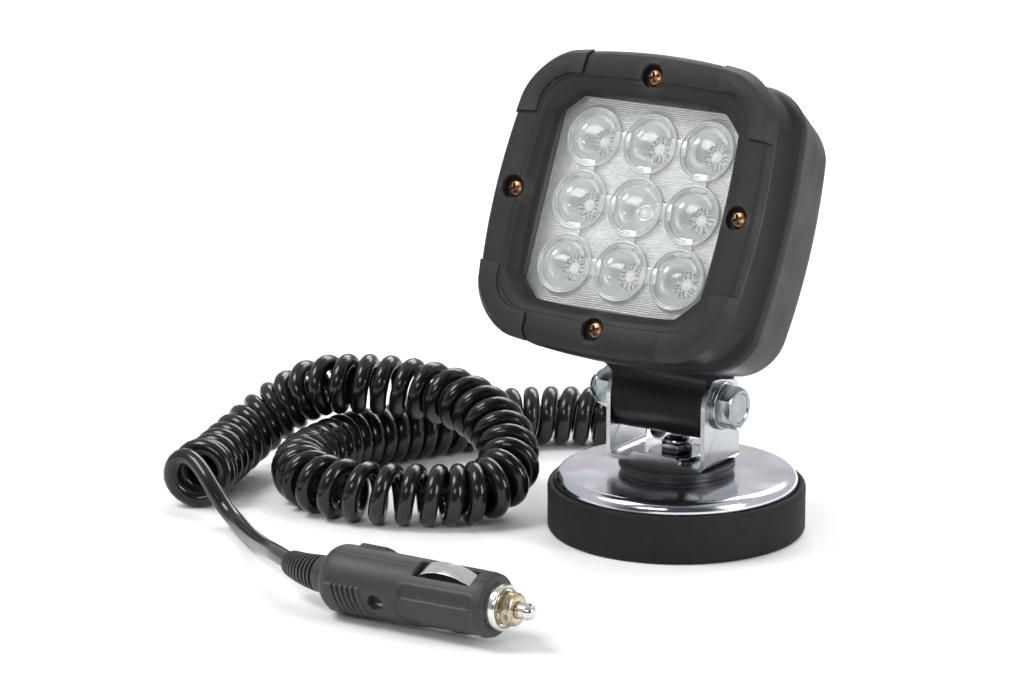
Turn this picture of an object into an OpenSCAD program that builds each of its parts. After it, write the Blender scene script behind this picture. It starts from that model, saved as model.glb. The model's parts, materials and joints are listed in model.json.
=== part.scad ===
// Square LED work light on a magnetic base, with a tilting bracket and a curly 12 V lead.
// Millimetres, +Z up. The origin is the centre of the magnet's underside.
// The lamp faces -Y and its tilt bolt runs along X.

/* [Magnetic base] */
// Diameter of the steel magnet cup
cup_d = 80; // [76:1:84]
// Height of the flat top of the cup
cup_top = 19.9; // [19:0.1:21]
// Wall of the rubber boot round the cup
boot_wall = 2.4; // [2:0.1:3]
// Height of the rubber boot
boot_h = 16; // [14:0.5:16]
// Diameter of the spacer disc under the bracket
spacer_d = 38.4; // [30:0.2:44]

/* [Bracket] */
// Width over the two ears
bracket_w = 37.5; // [36.5:0.5:38.5]
// Depth of the strip that the bracket is bent from
bracket_depth = 22.4; // [22:0.2:24]
// Thickness of the bracket's sheet
sheet = 1.5; // [1.4:0.1:1.6]
// Height of the tilt axis
pivot_z = 44.1; // [44:0.1:46]

/* [Lamp head] */
// Width and height of the bezel
face_w = 99; // [98:0.5:100]
// Lean of the face from upright, top edge back
tilt = 24.75; // [15:0.25:30]
// Depth from the face to the back of the housing
head_depth = 52; // [51:0.5:53]
// Distance from the face to the tilt axis, measured along the depth
face_to_pivot = 62.3; // [62:0.1:63]
// Height of the face's centre over the tilt axis, measured along the face
face_rise = 50.9; // [50.5:0.1:51.5]
// Spacing of the lights
led_pitch = 21; // [20.5:0.1:21.5]
// Depth from the face to the cover lens
lens_depth = 6.8; // [6.5:0.1:7]

/* [Cord and plug] */
// Diameter of the cord
cord_d = 5.7; // [5:0.1:5.8]
// Outer diameter of the curly stretch
coil_d = 20.4; // [19:0.1:20.4]
// Diameter of the plug's barrel at its front
plug_d = 20.1; // [20:0.1:20.4]
// Diameter of the plug's grip at its rear
grip_d = 21.4; // [21:0.1:21.4]
// Length of the plug's body
plug_len = 61.5; // [61:0.5:62]
// Turn of the plug about its own axis
plug_roll = 24; // [18:1:30]

/* [Hidden] */
$fn = 48;

slip = 0.05;                        // gap between faces that turn on each other
fit_gap = 0.08;                     // radial clearance of a running fit

// Magnetic base
cup_r = cup_d / 2;
cup_wall = 3;
cup_roof = 6;
boot_r = cup_r + boot_wall + 0.1;
boot_floor = 1;                     // rubber skin under the magnet
magnet_r = cup_r - cup_wall - 1;
magnet_top = cup_top - cup_roof;
core_r = 11;
stud_r = 3;                         // M6
spacer_top = 23.4 - slip;
plate_z = 23.4;                     // underside of the bracket's plate
plate_top = plate_z + sheet;
washer_z = plate_top + slip;
washer_t = 1.2;
m6_across = 10;
m6_height = 5;

// Tilt joint
bolt_r = 4;                         // M8
m8_across = 13;
m8_head = 5.3;
m8_nut = 8;
m8_washer_r = 8;
m8_washer_t = 1.6;
ear_out = bracket_w / 2;
ears_at = -1.6;                     // the ears' middle, to the left of the stud
bolt_end = ear_out + m8_washer_t + m8_nut + 2.2;
ear_in = ear_out - sheet;
ear_r = bracket_depth / 2;
boss_r = 11.8;
boss_half = ear_in - 0.25;
sleeve_r = 6;

// Lamp head, with depths counted from the face
bezel_back = 4;
band_back = 18;
band_half = 47.3;
flare_half = 48.4;
flare_back = 24;
taper_half = 43.8;
taper_back = head_depth - 4;
rear_half = 40;
corner_r = 16;
shell = 2.4;
collar_half = 38;
opening_half = 34.4;
opening_front = 37.2;
opening_chamfer = 6.5;
lens_half = 38.3;
lens_t = 2;
gasket_t = 1.4;
ledge = lens_depth + lens_t + gasket_t + 0.1;
optic_z = ledge + 1;
board_z = 20;
board_t = 1.6;
sink_t = 4;
sink_back = board_z + board_t + sink_t;
fin_back = 38;
driver_z = 42;
driver_t = 1.6;
bezel_screw_at = 41.6;
sink_screw_at = 31.5;
driver_screw_at = [26, 20];
gland_rise = -29;                   // height of the cord gland from the face's centre
gland_r = 6.4;
gland_len = 9;
gland_pocket_r = 8.6;               // room for the gland in the top of the stalk
vent_at = [22, 18];

// Plug, in its own frame: X along its axis from the back of the body
plug_at = [-43, -133, 11];
plug_yaw = -0.5;
plug_pitch = 1.5;                   // the front is raised by the lower contact
plug_r = plug_d / 2;
grip_r = grip_d / 2;
nose_len = 2.5;
nose_r = 9.5;
plug_bore = 7.6;
cap_r = 7.2;
cap_len = 3.5;
collar_r = 5.1;
collar_len = 4.1;
tip_r = 2.6;
tip_len = 5.8;
tip_flange = plug_len - 3.2;
fuse_r = 3.2;
fuse_len = 25;
fuse_at = tip_flange - fuse_len - 0.1;
leaf_w = 5.4;
leaf_at = [35.5, 56];
leaf_proud = 2;
clamp_at = 23.3;                    // the screw that clamps the two halves
clamp_lean = 10;
relief_len = 20;
relief_turn = 28;                   // how far the strain relief has bent
relief_r = relief_len / (relief_turn * PI / 180);

// Centre line of the curly stretch, from the plug's end to the lamp's end
coil_route = [[-142.5, -74.5, 10.5], [-149, -58, 10.5], [-154, -41, 11.5], [-154, -26, 16],
              [-148, -16, 23], [-138, -12, 29.5], [-127, -9, 31.8], [-115, -3, 31.8],
              [-104, 1, 31], [-93, 2, 30.2], [-81, 0, 28.5], [-69, -5, 25.5],
              [-59, -12, 20.8], [-53, -21, 15.8], [-54, -31, 12], [-61, -39, 10.5],
              [-72, -46, 10.5], [-85, -52, 10.5], [-98, -54, 10.5], [-110, -52, 10.5],
              [-120, -45, 10.5], [-126, -34, 10.5], [-128, -21, 10.5], [-128, -9, 10.5],
              [-124, 5, 10.5], [-118, 18, 10.5], [-111, 30, 10.5], [-104, 42, 10.5],
              [-97, 52, 10.5], [-88, 60, 10.5], [-76, 67, 10.5], [-62, 74, 10.5],
              [-48, 80, 10.5]];
// The straight lead, from the end of the coil to the plug's strain relief
lead_route = [[-140.4, -77, 18], [-135, -78.5, 15], [-130, -80, 10.5], [-125, -81, 6],
              [-118, -84, 3.2], [-110, -90, 2.9], [-100, -98.3, 4], [-90, -107, 6],
              [-81.5, -114.3, 7.9], [-73, -121, 9.5], [-62.8, -127.7, 10.4]];
// The tail, from the gland down to the lamp's end of the coil
tail_route = [[0, 10.8, 63.3], [0, 17, 60.4], [0, 23, 57], [-3, 35, 48], [-9, 49, 35],
              [-17, 62, 21], [-27, 72, 12], [-37, 77.5, 9.5], [-46.2, 80.6, 10.5]];

// ---------- helpers ----------

// A point t of the way from b to c on the smooth curve through a, b, c and d
function curve(a, b, c, d, t) =
    0.5 * (2 * b + (c - a) * t + (2 * a - 5 * b + 4 * c - d) * t * t
           + (3 * b - a - 3 * c + d) * t * t * t);

// The route with `steps` smooth steps between neighbouring points
function smooth(route, steps) =
    let (last = len(route) - 1)
    [for (i = [0 : last - 1], k = [0 : steps - 1])
        curve(route[max(i - 1, 0)], route[i], route[i + 1], route[min(i + 2, last)], k / steps),
     route[last]];

function unit(v) = v / norm(v);

function heading(path, i) =
    unit(path[min(i + 1, len(path) - 1)] - path[max(i - 1, 0)]);

// One ring of points square to the path, kept level by the direction `up`
function ring(path, i, r, sides, up) =
    let (t = heading(path, i), s = unit(cross(t, up)), n = cross(s, t))
    [for (k = [0 : sides - 1]) path[i] + r * (cos(360 * k / sides) * s + sin(360 * k / sides) * n)];

module tube(path, r, sides, up = [0, 0, 1]) {
    rings = len(path);
    points = [for (i = [0 : rings - 1]) each ring(path, i, r, sides, up)];
    walls = [for (i = [0 : rings - 2], k = [0 : sides - 1])
                let (n = (k + 1) % sides, a = i * sides, b = a + sides)
                each [[a + k, a + n, b + n], [a + k, b + n, b + k]]];
    start = [[for (k = [sides - 1 : -1 : 0]) k]];
    finish = [[for (k = [0 : sides - 1]) (rings - 1) * sides + k]];
    polyhedron(points, concat(walls, start, finish), convexity = 10);
}

// Places its children in the tilted frame of the lamp: X across, Y from the face's depth, Z up
module lamp_frame() {
    translate([0, 0, pivot_z]) rotate([-tilt, 0, 0])
        translate([0, -face_to_pivot, face_rise]) children();
}

// A plate between two depths, with its outline drawn in X and Z
module plate(from, to) {
    translate([0, to, 0]) rotate([90, 0, 0]) linear_extrude(to - from) children();
}

// A round post between two depths
module post(x, z, r, from, to) {
    translate([x, to, z]) rotate([90, 0, 0]) cylinder(r = r, h = to - from);
}

module rounded(half, r) {
    square([2 * half, 2 * (half - r)], center = true);
    square([2 * (half - r), 2 * half], center = true);
    for (x = [-1, 1], y = [-1, 1]) translate([x, y] * (half - r)) circle(r, $fn = 32);
}

module chamfered(half, c) {
    polygon([[half - c, half], [half, half - c], [half, c - half], [half - c, -half],
             [c - half, -half], [-half, c - half], [-half, half - c], [c - half, half]]);
}

module corners(at) {
    for (x = [-1, 1], z = [-1, 1]) translate([x * at, 0, z * at]) children();
}

module mid_sides(at) {
    for (a = [0 : 90 : 270]) rotate([0, a, 0]) translate([at, 0, 0]) children();
}

module each_led() {
    for (i = [-1 : 1], j = [-1 : 1]) translate([i * led_pitch, 0, j * led_pitch]) children();
}

// A hexagon by its size across flats, flats square to Y
module hexagon(across) {
    circle(r = across / sqrt(3), $fn = 6);
}

// Places its children in the plug's frame, rolled so that its top contact leans to -Y
module plug_frame() {
    translate(plug_at) rotate([0, -plug_pitch, plug_yaw]) rotate([plug_roll, 0, 0]) children();
}

// A solid turned about the plug's axis from an outline of [distance along, radius] pairs
module turned(outline) {
    rotate([0, 90, 0]) rotate_extrude()
        polygon([for (p = outline) [p[1], p[0]]]);
}

// ---------- magnetic base ----------

module rubber_boot() {
    color([0.10, 0.10, 0.10]) difference() {
        union() {
            cylinder(r = boot_r, h = boot_h - 0.8, $fn = 96);
            cylinder(r = boot_r - 0.8, h = boot_h, $fn = 96);
        }
        translate([0, 0, boot_floor]) cylinder(r = cup_r + 0.1, h = boot_h, $fn = 96);
    }
}

module magnet_cup() {
    shoulder = 3.4;
    color([0.80, 0.80, 0.83]) rotate_extrude($fn = 96) difference() {
        union() {
            translate([stud_r, boot_floor]) square([cup_r - stud_r, cup_top - shoulder - boot_floor]);
            translate([stud_r, boot_floor]) square([cup_r - stud_r - shoulder, cup_top - boot_floor]);
            translate([cup_r - shoulder, cup_top - shoulder]) circle(shoulder, $fn = 32);
        }
        translate([0, boot_floor - 1]) square([cup_r - cup_wall, magnet_top - boot_floor + 1]);
    }
}

module ring_magnet() {
    color([0.22, 0.22, 0.23]) translate([0, 0, boot_floor]) difference() {
        cylinder(r = magnet_r, h = magnet_top - boot_floor, $fn = 96);
        translate([0, 0, -1]) cylinder(r = core_r + 1, h = magnet_top + 1);
    }
}

module pole_core() {
    color([0.60, 0.60, 0.62]) translate([0, 0, boot_floor]) difference() {
        cylinder(r = core_r, h = magnet_top - boot_floor);
        translate([0, 0, 2]) cylinder(r = stud_r, h = magnet_top);
    }
}

module base_stud() {
    color([0.78, 0.80, 0.83]) translate([0, 0, boot_floor + 2])
        cylinder(r = stud_r, h = 31.6 - boot_floor - 2);
}

module spacer_disc() {
    color([0.07, 0.07, 0.07]) difference() {
        translate([0, 0, cup_top]) cylinder(r = spacer_d / 2, h = spacer_top - cup_top, $fn = 64);
        cylinder(r = stud_r, h = 40);
    }
}

module base_washer() {
    color([0.80, 0.82, 0.86]) translate([0, 0, washer_z]) difference() {
        cylinder(r = 9.4, h = washer_t);
        translate([0, 0, -1]) cylinder(r = stud_r, h = washer_t + 2);
    }
}

module base_nut() {
    color([0.80, 0.82, 0.86]) translate([0, 0, washer_z + washer_t]) difference() {
        union() {
            rotate([0, 0, -57]) linear_extrude(m6_height - 1.4) hexagon(m6_across);
            cylinder(r = 4.6, h = m6_height);
        }
        translate([0, 0, -1]) cylinder(r = stud_r, h = m6_height + 2);
        translate([0, 0, m6_height - 1.8]) cylinder(r = 3.9, h = 1.2);
    }
}

module base_nut_insert() {
    color([0.25, 0.35, 0.60]) translate([0, 0, washer_z + washer_t + m6_height - 1.8]) difference() {
        cylinder(r = 3.9, h = 1.2);
        translate([0, 0, -1]) cylinder(r = stud_r, h = 4);
    }
}

// ---------- bracket and tilt joint ----------

module u_outline(half, bottom, r) {
    top = pivot_z + ear_r + 1;
    translate([-half, bottom + r]) square([2 * half, top - bottom - r]);
    translate([-half + r, bottom]) square([2 * (half - r), top - bottom]);
    for (x = [-1, 1]) translate([x * (half - r), bottom + r]) circle(r, $fn = 32);
}

module bracket() {
    bend = 3;
    color([0.82, 0.84, 0.88]) difference() {
        union() {
            intersection() {
                translate([ears_at, 0, 0]) rotate([90, 0, 0])
                    linear_extrude(bracket_depth, center = true) difference() {
                        u_outline(ear_out, plate_z, bend);
                        u_outline(ear_in, plate_top, bend - sheet);
                    }
                rotate([90, 0, 90]) linear_extrude(2 * bracket_w, center = true) {
                    translate([-ear_r, plate_z - 1]) square([2 * ear_r, pivot_z - plate_z + 1]);
                    translate([0, pivot_z]) circle(ear_r, $fn = 64);
                }
            }
            // the turned-up tab on the front edge
            translate([0, -ear_r, 0]) rotate([-90, 0, 0]) linear_extrude(sheet) {
                translate([-11.5, -27]) square([19.1, 27 - plate_z]);
            }
        }
        cylinder(r = stud_r + fit_gap, h = 60);
        translate([0, 0, pivot_z]) rotate([0, 90, 0])
            cylinder(r = bolt_r + fit_gap, h = 2 * bracket_w, center = true);
    }
}

// Places its children on the pivot, at a distance from the ears' middle
module on_pivot(x) {
    translate([ears_at + x, 0, pivot_z]) rotate([0, 90, 0]) children();
}

module pivot_bolt() {
    head_x = ear_out + m8_washer_t;
    color([0.80, 0.83, 0.88]) {
        on_pivot(head_x) linear_extrude(m8_head) hexagon(m8_across);
        on_pivot(-bolt_end) cylinder(r = bolt_r, h = head_x + bolt_end);
    }
}

module pivot_washers() {
    color([0.80, 0.83, 0.88])
        for (x = [ear_out, -ear_out - m8_washer_t]) on_pivot(x) difference() {
            cylinder(r = m8_washer_r, h = m8_washer_t);
            translate([0, 0, -1]) cylinder(r = bolt_r, h = m8_washer_t + 2);
        }
}

module pivot_nut() {
    far = -ear_out - m8_washer_t - m8_nut;
    color([0.80, 0.83, 0.88]) difference() {
        union() {
            on_pivot(far + 1.8) linear_extrude(m8_nut - 1.8) hexagon(m8_across);
            on_pivot(far) cylinder(r = 6, h = m8_nut);
        }
        on_pivot(far - 1) cylinder(r = bolt_r, h = m8_nut + 2);
        on_pivot(far + 0.5) cylinder(r = 5, h = 1.5);
    }
}

module pivot_nut_insert() {
    color([0.25, 0.35, 0.60]) difference() {
        on_pivot(-ear_out - m8_washer_t - m8_nut + 0.5) cylinder(r = 5, h = 1.5);
        on_pivot(-bolt_end) cylinder(r = bolt_r, h = bolt_end);
    }
}

module pivot_sleeve() {
    color([0.75, 0.65, 0.35]) on_pivot(-boss_half - 0.15) difference() {
        cylinder(r = sleeve_r, h = 2 * boss_half + 0.3);
        translate([0, 0, -1]) cylinder(r = bolt_r + fit_gap, h = 2 * boss_half + 3);
    }
}

// ---------- lamp head ----------

// The neck under the housing, with a barrel round the pivot between the ears
module stalk() {
    translate([ears_at - boss_half, 0, 0]) {
        hull() {
            translate([0, face_to_pivot, -face_rise]) rotate([0, 90, 0])
                cylinder(r = boss_r - 0.1, h = 2 * boss_half, $fn = 32);
            translate([0, 34, -45]) cube([2 * boss_half, head_depth - 38, 2]);
            translate([0, head_depth - 6, -45]) cube([2 * boss_half, 5, 18]);
        }
        translate([0, face_to_pivot, -face_rise]) rotate([0, 90, 0])
            cylinder(r = boss_r, h = 2 * boss_half);
    }
}

module housing_outside() {
    plate(bezel_back, band_back) rounded(band_half, corner_r - 0.5);
    hull() {
        plate(band_back - 0.2, band_back) rounded(band_half, corner_r - 0.5);
        plate(band_back + 1.5, flare_back) rounded(flare_half, corner_r);
    }
    hull() {
        plate(flare_back - 0.2, flare_back) rounded(flare_half, corner_r);
        plate(taper_back - 1, taper_back) rounded(taper_half, corner_r);
        plate(head_depth - 0.2, head_depth) rounded(rear_half, corner_r);
    }
}

module housing_inside() {
    plate(bezel_back - 1, ledge) rounded(lens_half + 0.3, 6);
    plate(ledge - 0.5, band_back) rounded(opening_half + 1.1, 4);
    plate(ledge + 2, band_back) rounded(band_half - shell, corner_r - shell);
    hull() {
        plate(band_back - 0.2, flare_back) rounded(band_half - shell, corner_r - shell);
        plate(taper_back - 3, taper_back - 2) rounded(taper_half - shell, corner_r - shell);
        plate(head_depth - shell - 0.2, head_depth - shell) rounded(rear_half - shell, corner_r - shell);
    }
}

module housing() {
    color([0.16, 0.16, 0.18]) lamp_frame() difference() {
        union() {
            difference() {
                union() {
                    housing_outside();
                    stalk();
                }
                housing_inside();
            }
            // bosses for the bezel, heat sink and driver screws
            mid_sides(bezel_screw_at) post(0, 0, 3.4, bezel_back, 16);
            corners(sink_screw_at) post(0, 0, 3.6, sink_back, head_depth - 1);
            for (x = [-1, 1], z = [-1, 1])
                post(x * driver_screw_at.x, z * driver_screw_at.y, 3, driver_z + driver_t, head_depth - 1);
        }
        mid_sides(bezel_screw_at) post(0, 0, 1.5, bezel_back - 1, 14);
        corners(sink_screw_at) post(0, 0, 1.5, sink_back - 1, sink_back + 8);
        for (x = [-1, 1], z = [-1, 1])
            post(x * driver_screw_at.x, z * driver_screw_at.y, 1.25, driver_z, driver_z + 6);
        post(0, gland_rise, 4.5, head_depth - 8, head_depth + 1);
        post(0, gland_rise, gland_pocket_r, head_depth, head_depth + 20);
        post(vent_at.x, vent_at.y, 3, head_depth - 8, head_depth + 1);
        translate([-40, face_to_pivot, -face_rise]) rotate([0, 90, 0]) cylinder(r = sleeve_r, h = 80);
    }
}

module bezel() {
    pad_from = 25;
    pad_inner = 39.8;
    color([0.17, 0.165, 0.16]) lamp_frame() difference() {
        union() {
            hull() {
                plate(0, 0.1) rounded(face_w / 2 - 2.5, corner_r - 1);
                plate(2.5, bezel_back) rounded(face_w / 2, corner_r);
            }
            plate(bezel_back - 0.1, lens_depth) rounded(collar_half, 6);
            plate(-1, 0.5) intersection() {
                difference() {
                    rounded(face_w / 2 - 1.5, corner_r - 1);
                    rounded(pad_inner, corner_r - 8);
                }
                for (x = [-1, 1], z = [-1, 1])
                    translate([x, z] * (pad_from + 20)) square(40, center = true);
            }
        }
        hull() {
            plate(-0.01, 0) chamfered(opening_front, opening_chamfer);
            plate(3, 3.1) chamfered(opening_half, opening_chamfer);
        }
        plate(2, 12) chamfered(opening_half, opening_chamfer);
        mid_sides(bezel_screw_at) {
            post(0, 0, 3.8, -2, 3);
            post(0, 0, 1.6, -2, 8);
        }
    }
}

module pan_screw(r_head, r_shank, head_at, shank_to) {
    post(0, 0, r_head, head_at - 1.6, head_at);
    post(0, 0, r_shank, head_at - 0.1, shank_to);
}

module bezel_screws() {
    color([0.45, 0.33, 0.22]) lamp_frame()
        mid_sides(bezel_screw_at) pan_screw(3.1, 1.5, 3, 14);
}

module lens_gasket() {
    color([0.30, 0.30, 0.30]) lamp_frame()
        plate(lens_depth + lens_t, lens_depth + lens_t + gasket_t) difference() {
            rounded(lens_half, 6);
            rounded(opening_half + 1.1, 4);
        }
}

module cover_lens() {
    color([0.93, 0.95, 0.96, 0.5]) lamp_frame()
        plate(lens_depth, lens_depth + lens_t) rounded(lens_half, 6);
}

module optic_array() {
    rim = 10;
    foot = 4.6;
    color([0.90, 0.92, 0.94, 0.6]) lamp_frame() difference() {
        union() {
            plate(lens_depth + lens_t + 0.3, optic_z) rounded(opening_half, 4);
            each_led() translate([0, optic_z, 0]) rotate([-90, 0, 0])
                rotate_extrude() polygon([[0, -0.5], [rim, -0.5], [rim, 0.5],
                                          [foot, board_z - 0.1 - optic_z], [0, board_z - 0.1 - optic_z]]);
        }
        each_led() post(0, 0, 3, board_z - 2.2, board_z + 1);
    }
}

module led_packages() {
    color([0.95, 0.90, 0.60]) lamp_frame() each_led() {
        plate(board_z - 0.8, board_z) square(3.5, center = true);
        post(0, 0, 1.4, board_z - 1.6, board_z - 0.5);
    }
}

module led_board() {
    color([0.90, 0.90, 0.88]) lamp_frame() difference() {
        plate(board_z, board_z + board_t) rounded(27, 2);
        corners(led_pitch / 2) post(0, 0, 1.5, board_z - 1, board_z + 3);
    }
}

module board_screws() {
    color([0.70, 0.72, 0.75]) lamp_frame() corners(led_pitch / 2)
        pan_screw(2.6, 1.5, board_z, board_z + 5);
}

module heat_sink() {
    fins = 7;
    color([0.65, 0.67, 0.70]) lamp_frame() difference() {
        union() {
            plate(board_z + board_t, sink_back) rounded(34.5, 3);
            for (i = [0 : fins - 1])
                translate([-26 + i * 52 / (fins - 1) - 1, sink_back - 0.2, -25])
                    cube([2, fin_back - sink_back, 50]);
        }
        corners(led_pitch / 2) post(0, 0, 1.5, board_z, board_z + 5);
        corners(sink_screw_at) post(0, 0, 1.6, board_z, sink_back + 1);
    }
}

module sink_screws() {
    color([0.70, 0.72, 0.75]) lamp_frame() corners(sink_screw_at)
        pan_screw(2.7, 1.5, board_z + board_t, sink_back + 7);
}

module driver_board() {
    color([0.10, 0.35, 0.18]) lamp_frame() difference() {
        plate(driver_z, driver_z + driver_t) square([60, 48], center = true);
        for (x = [-1, 1], z = [-1, 1])
            post(x * driver_screw_at.x, z * driver_screw_at.y, 1.25, driver_z - 1, driver_z + 3);
    }
}

module driver_parts() {
    color([0.25, 0.25, 0.27]) lamp_frame() {
        post(-14, 8, 4, driver_z + driver_t, driver_z + driver_t + 5);
        post(0, 8, 4, driver_z + driver_t, driver_z + driver_t + 5);
        translate([8, driver_z + driver_t, 2]) cube([10, 4, 10]);
        translate([-18, driver_z + driver_t, -14]) cube([8, 2, 8]);
    }
}

module driver_screws() {
    color([0.70, 0.72, 0.75]) lamp_frame() for (x = [-1, 1], z = [-1, 1])
        translate([x * driver_screw_at.x, 0, z * driver_screw_at.y])
            pan_screw(2.4, 1.25, driver_z, driver_z + 6);
}

module breather_vent() {
    color([0.12, 0.12, 0.12]) lamp_frame() {
        post(vent_at.x, vent_at.y, 3, head_depth - 4, head_depth);
        post(vent_at.x, vent_at.y, 5.5, head_depth, head_depth + 1.6);
    }
}

// ---------- cord gland ----------

module cable_gland() {
    color([0.12, 0.12, 0.12]) lamp_frame() difference() {
        union() {
            post(0, gland_rise, 4.5, head_depth - 4, head_depth);
            translate([0, head_depth + 3, gland_rise]) rotate([90, 0, 0])
                linear_extrude(3) hexagon(14);
            post(0, gland_rise, 5, head_depth + 2, head_depth + 6);
        }
        post(0, gland_rise, cord_d / 2 + 0.05, head_depth - 5, head_depth + 4);
        post(0, gland_rise, 4, head_depth + 3.5, head_depth + 7);
    }
}

module gland_seal() {
    color([0.35, 0.35, 0.35]) lamp_frame() difference() {
        post(0, gland_rise, 4, head_depth + 3.5, head_depth + 6.5);
        post(0, gland_rise, cord_d / 2 + 0.05, head_depth + 3, head_depth + 8);
    }
}

module gland_nut() {
    back = head_depth + 3 + gland_len;
    color([0.12, 0.12, 0.12]) lamp_frame() difference() {
        translate([0, 0, gland_rise]) rotate([-90, 0, 0]) rotate_extrude()
            polygon([[0, head_depth + 3.1], [gland_r, head_depth + 3.1], [gland_r, back - 3],
                     [4.2, back], [0, back]]);
        post(0, gland_rise, 5, head_depth + 3, head_depth + 6.6);
        post(0, gland_rise, cord_d / 2 + 0.05, head_depth + 3, back + 1);
    }
}

// The cord's end inside the housing and the gland
module inner_leads() {
    color([0.10, 0.10, 0.10]) lamp_frame() {
        post(0, gland_rise, cord_d / 2, head_depth - 5.5, head_depth + 3 + gland_len);
    }
}

// ---------- cord ----------

module cord_tail() {
    color([0.06, 0.06, 0.06]) tube(tail_route, cord_d / 2, 8);
}

module cord_coil() {
    color([0.08, 0.08, 0.08]) tube(smooth(coil_route, 2), coil_d / 2, 12);
}

module cord_lead() {
    color([0.06, 0.06, 0.06]) tube(lead_route, cord_d / 2, 8);
}

// ---------- plug ----------

// Rings of shrinking size along the bent strain relief
module plug_strain_relief() {
    rings = 8;
    step = relief_len / rings;
    color([0.09, 0.09, 0.10]) translate(plug_at) rotate([0, -plug_pitch, plug_yaw])
        translate([0, relief_r, 0]) for (i = [0 : rings - 1]) {
            big = 6.4 - 2.3 * i / (rings - 1);
            rotate([0, 0, -(i + 0.5) * relief_turn / rings]) translate([0, -relief_r, 0])
                rotate([0, 90, 0]) {
                    translate([0, 0, -step * 0.62]) cylinder(r = big - 0.9, h = step * 1.24, $fn = 24);
                    translate([0, 0, -step * 0.3]) cylinder(r = big, h = step * 0.6, $fn = 24);
                }
        }
}

// Places its children on the axis of the clamping screw, Z towards the far side
module on_clamp() {
    translate([clamp_at, 0, 0]) rotate([clamp_lean - 90, 0, 0]) children();
}

module plug_half(side) {
    slot_len = leaf_at[1] - leaf_at[0] + 1;
    intersection() {
        difference() {
            turned([[0.6, 0], [0.6, 6.4], [1.6, 8.6], [5.5, grip_r], [plug_len - nose_len, plug_r],
                    [plug_len, nose_r], [plug_len, 0]]);
            turned([[6, 0], [6, plug_bore], [plug_len - 3, plug_bore], [plug_len - 3, 0]]);
            turned([[plug_len - 4, 0], [plug_len - 4, 5], [plug_len + 1, 5], [plug_len + 1, 0]]);
            turned([[-1, 0], [-1, cord_d / 2 + 0.1], [7, cord_d / 2 + 0.1], [7, 0]]);
            for (z = [-1, 1])
                translate([leaf_at[0] - 0.5, -leaf_w / 2 - 0.4, z * (plug_r + 1) - 4])
                    cube([slot_len, leaf_w + 0.8, 8]);
            on_clamp() cylinder(r = 1.6, h = 40, center = true);
            on_clamp() translate([0, 0, 7]) cylinder(r = 3.2, h = 10);
            on_clamp() translate([0, 0, -17]) linear_extrude(10) hexagon(5.7);
        }
        translate([-5, side > 0 ? 0.02 : -30.02, -30]) cube([80, 30, 60]);
    }
}

module plug_shell_near() {
    color([0.15, 0.15, 0.16]) plug_frame() plug_half(-1);
}

module plug_shell_far() {
    color([0.15, 0.15, 0.16]) plug_frame() plug_half(1);
}

module plug_screw() {
    color([0.70, 0.72, 0.75]) plug_frame() on_clamp() {
        translate([0, 0, 7]) cylinder(r = 2.8, h = 1.6);
        translate([0, 0, -8.4]) cylinder(r = 1.5, h = 15.5);
    }
}

module plug_nut() {
    color([0.70, 0.72, 0.75]) plug_frame() on_clamp() translate([0, 0, -8.8]) difference() {
        linear_extrude(1.8) hexagon(5.5);
        translate([0, 0, -1]) cylinder(r = 1.5, h = 4);
    }
}

module plug_cap() {
    bore = tip_r + fit_gap;
    color([0.80, 0.79, 0.76]) plug_frame() difference() {
        turned([[plug_len - 3, 0], [plug_len - 3, 4.9], [plug_len, 4.9], [plug_len, cap_r],
                [plug_len + cap_len - 0.6, cap_r], [plug_len + cap_len, cap_r - 0.6],
                [plug_len + cap_len, 0]]);
        turned([[plug_len - 6, 0], [plug_len - 6, 3.9], [plug_len - 1.2, 3.9], [plug_len - 1.2, 0]]);
        turned([[plug_len - 2, 0], [plug_len - 2, bore], [plug_len + 9, bore], [plug_len + 9, 0]]);
    }
}

module plug_tip_collar() {
    from = plug_len + cap_len;
    bore = tip_r + fit_gap;
    color([0.66, 0.60, 0.48]) plug_frame() difference() {
        turned([[from, 0], [from, collar_r], [from + collar_len - 0.6, collar_r],
                [from + collar_len, collar_r - 0.6], [from + collar_len, 0]]);
        turned([[from - 1, 0], [from - 1, bore], [from + 9, bore], [from + 9, 0]]);
    }
}

module tip_contact() {
    nose = plug_len + cap_len + collar_len + tip_len;
    color([0.80, 0.78, 0.72]) plug_frame() union() {
        turned([[tip_flange, 0], [tip_flange, 3.7], [tip_flange + 1.5, 3.7], [tip_flange + 1.5, 0]]);
        turned([[tip_flange + 1, 0], [tip_flange + 1, tip_r], [nose - tip_r, tip_r],
                [nose - tip_r, 0]]);
        translate([nose - tip_r, 0, 0]) sphere(tip_r, $fn = 32);
    }
}

// The spring stands between the clamping screw and the fuse
module tip_spring() {
    from = clamp_at + 2.4;
    to = fuse_at - 0.5;
    turns = 5;
    steps = 10 * turns;
    coil = [for (i = [0 : steps])
               [from + (to - from) * i / steps, 2.8 * cos(36 * i), 2.8 * sin(36 * i)]];
    color([0.75, 0.76, 0.78]) plug_frame() tube(coil, 0.35, 6, [1, 0, 0]);
}

module fuse() {
    color([0.85, 0.88, 0.86]) plug_frame() turned([[fuse_at, 0], [fuse_at, fuse_r],
        [fuse_at + fuse_len, fuse_r], [fuse_at + fuse_len, 0]]);
}

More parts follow.
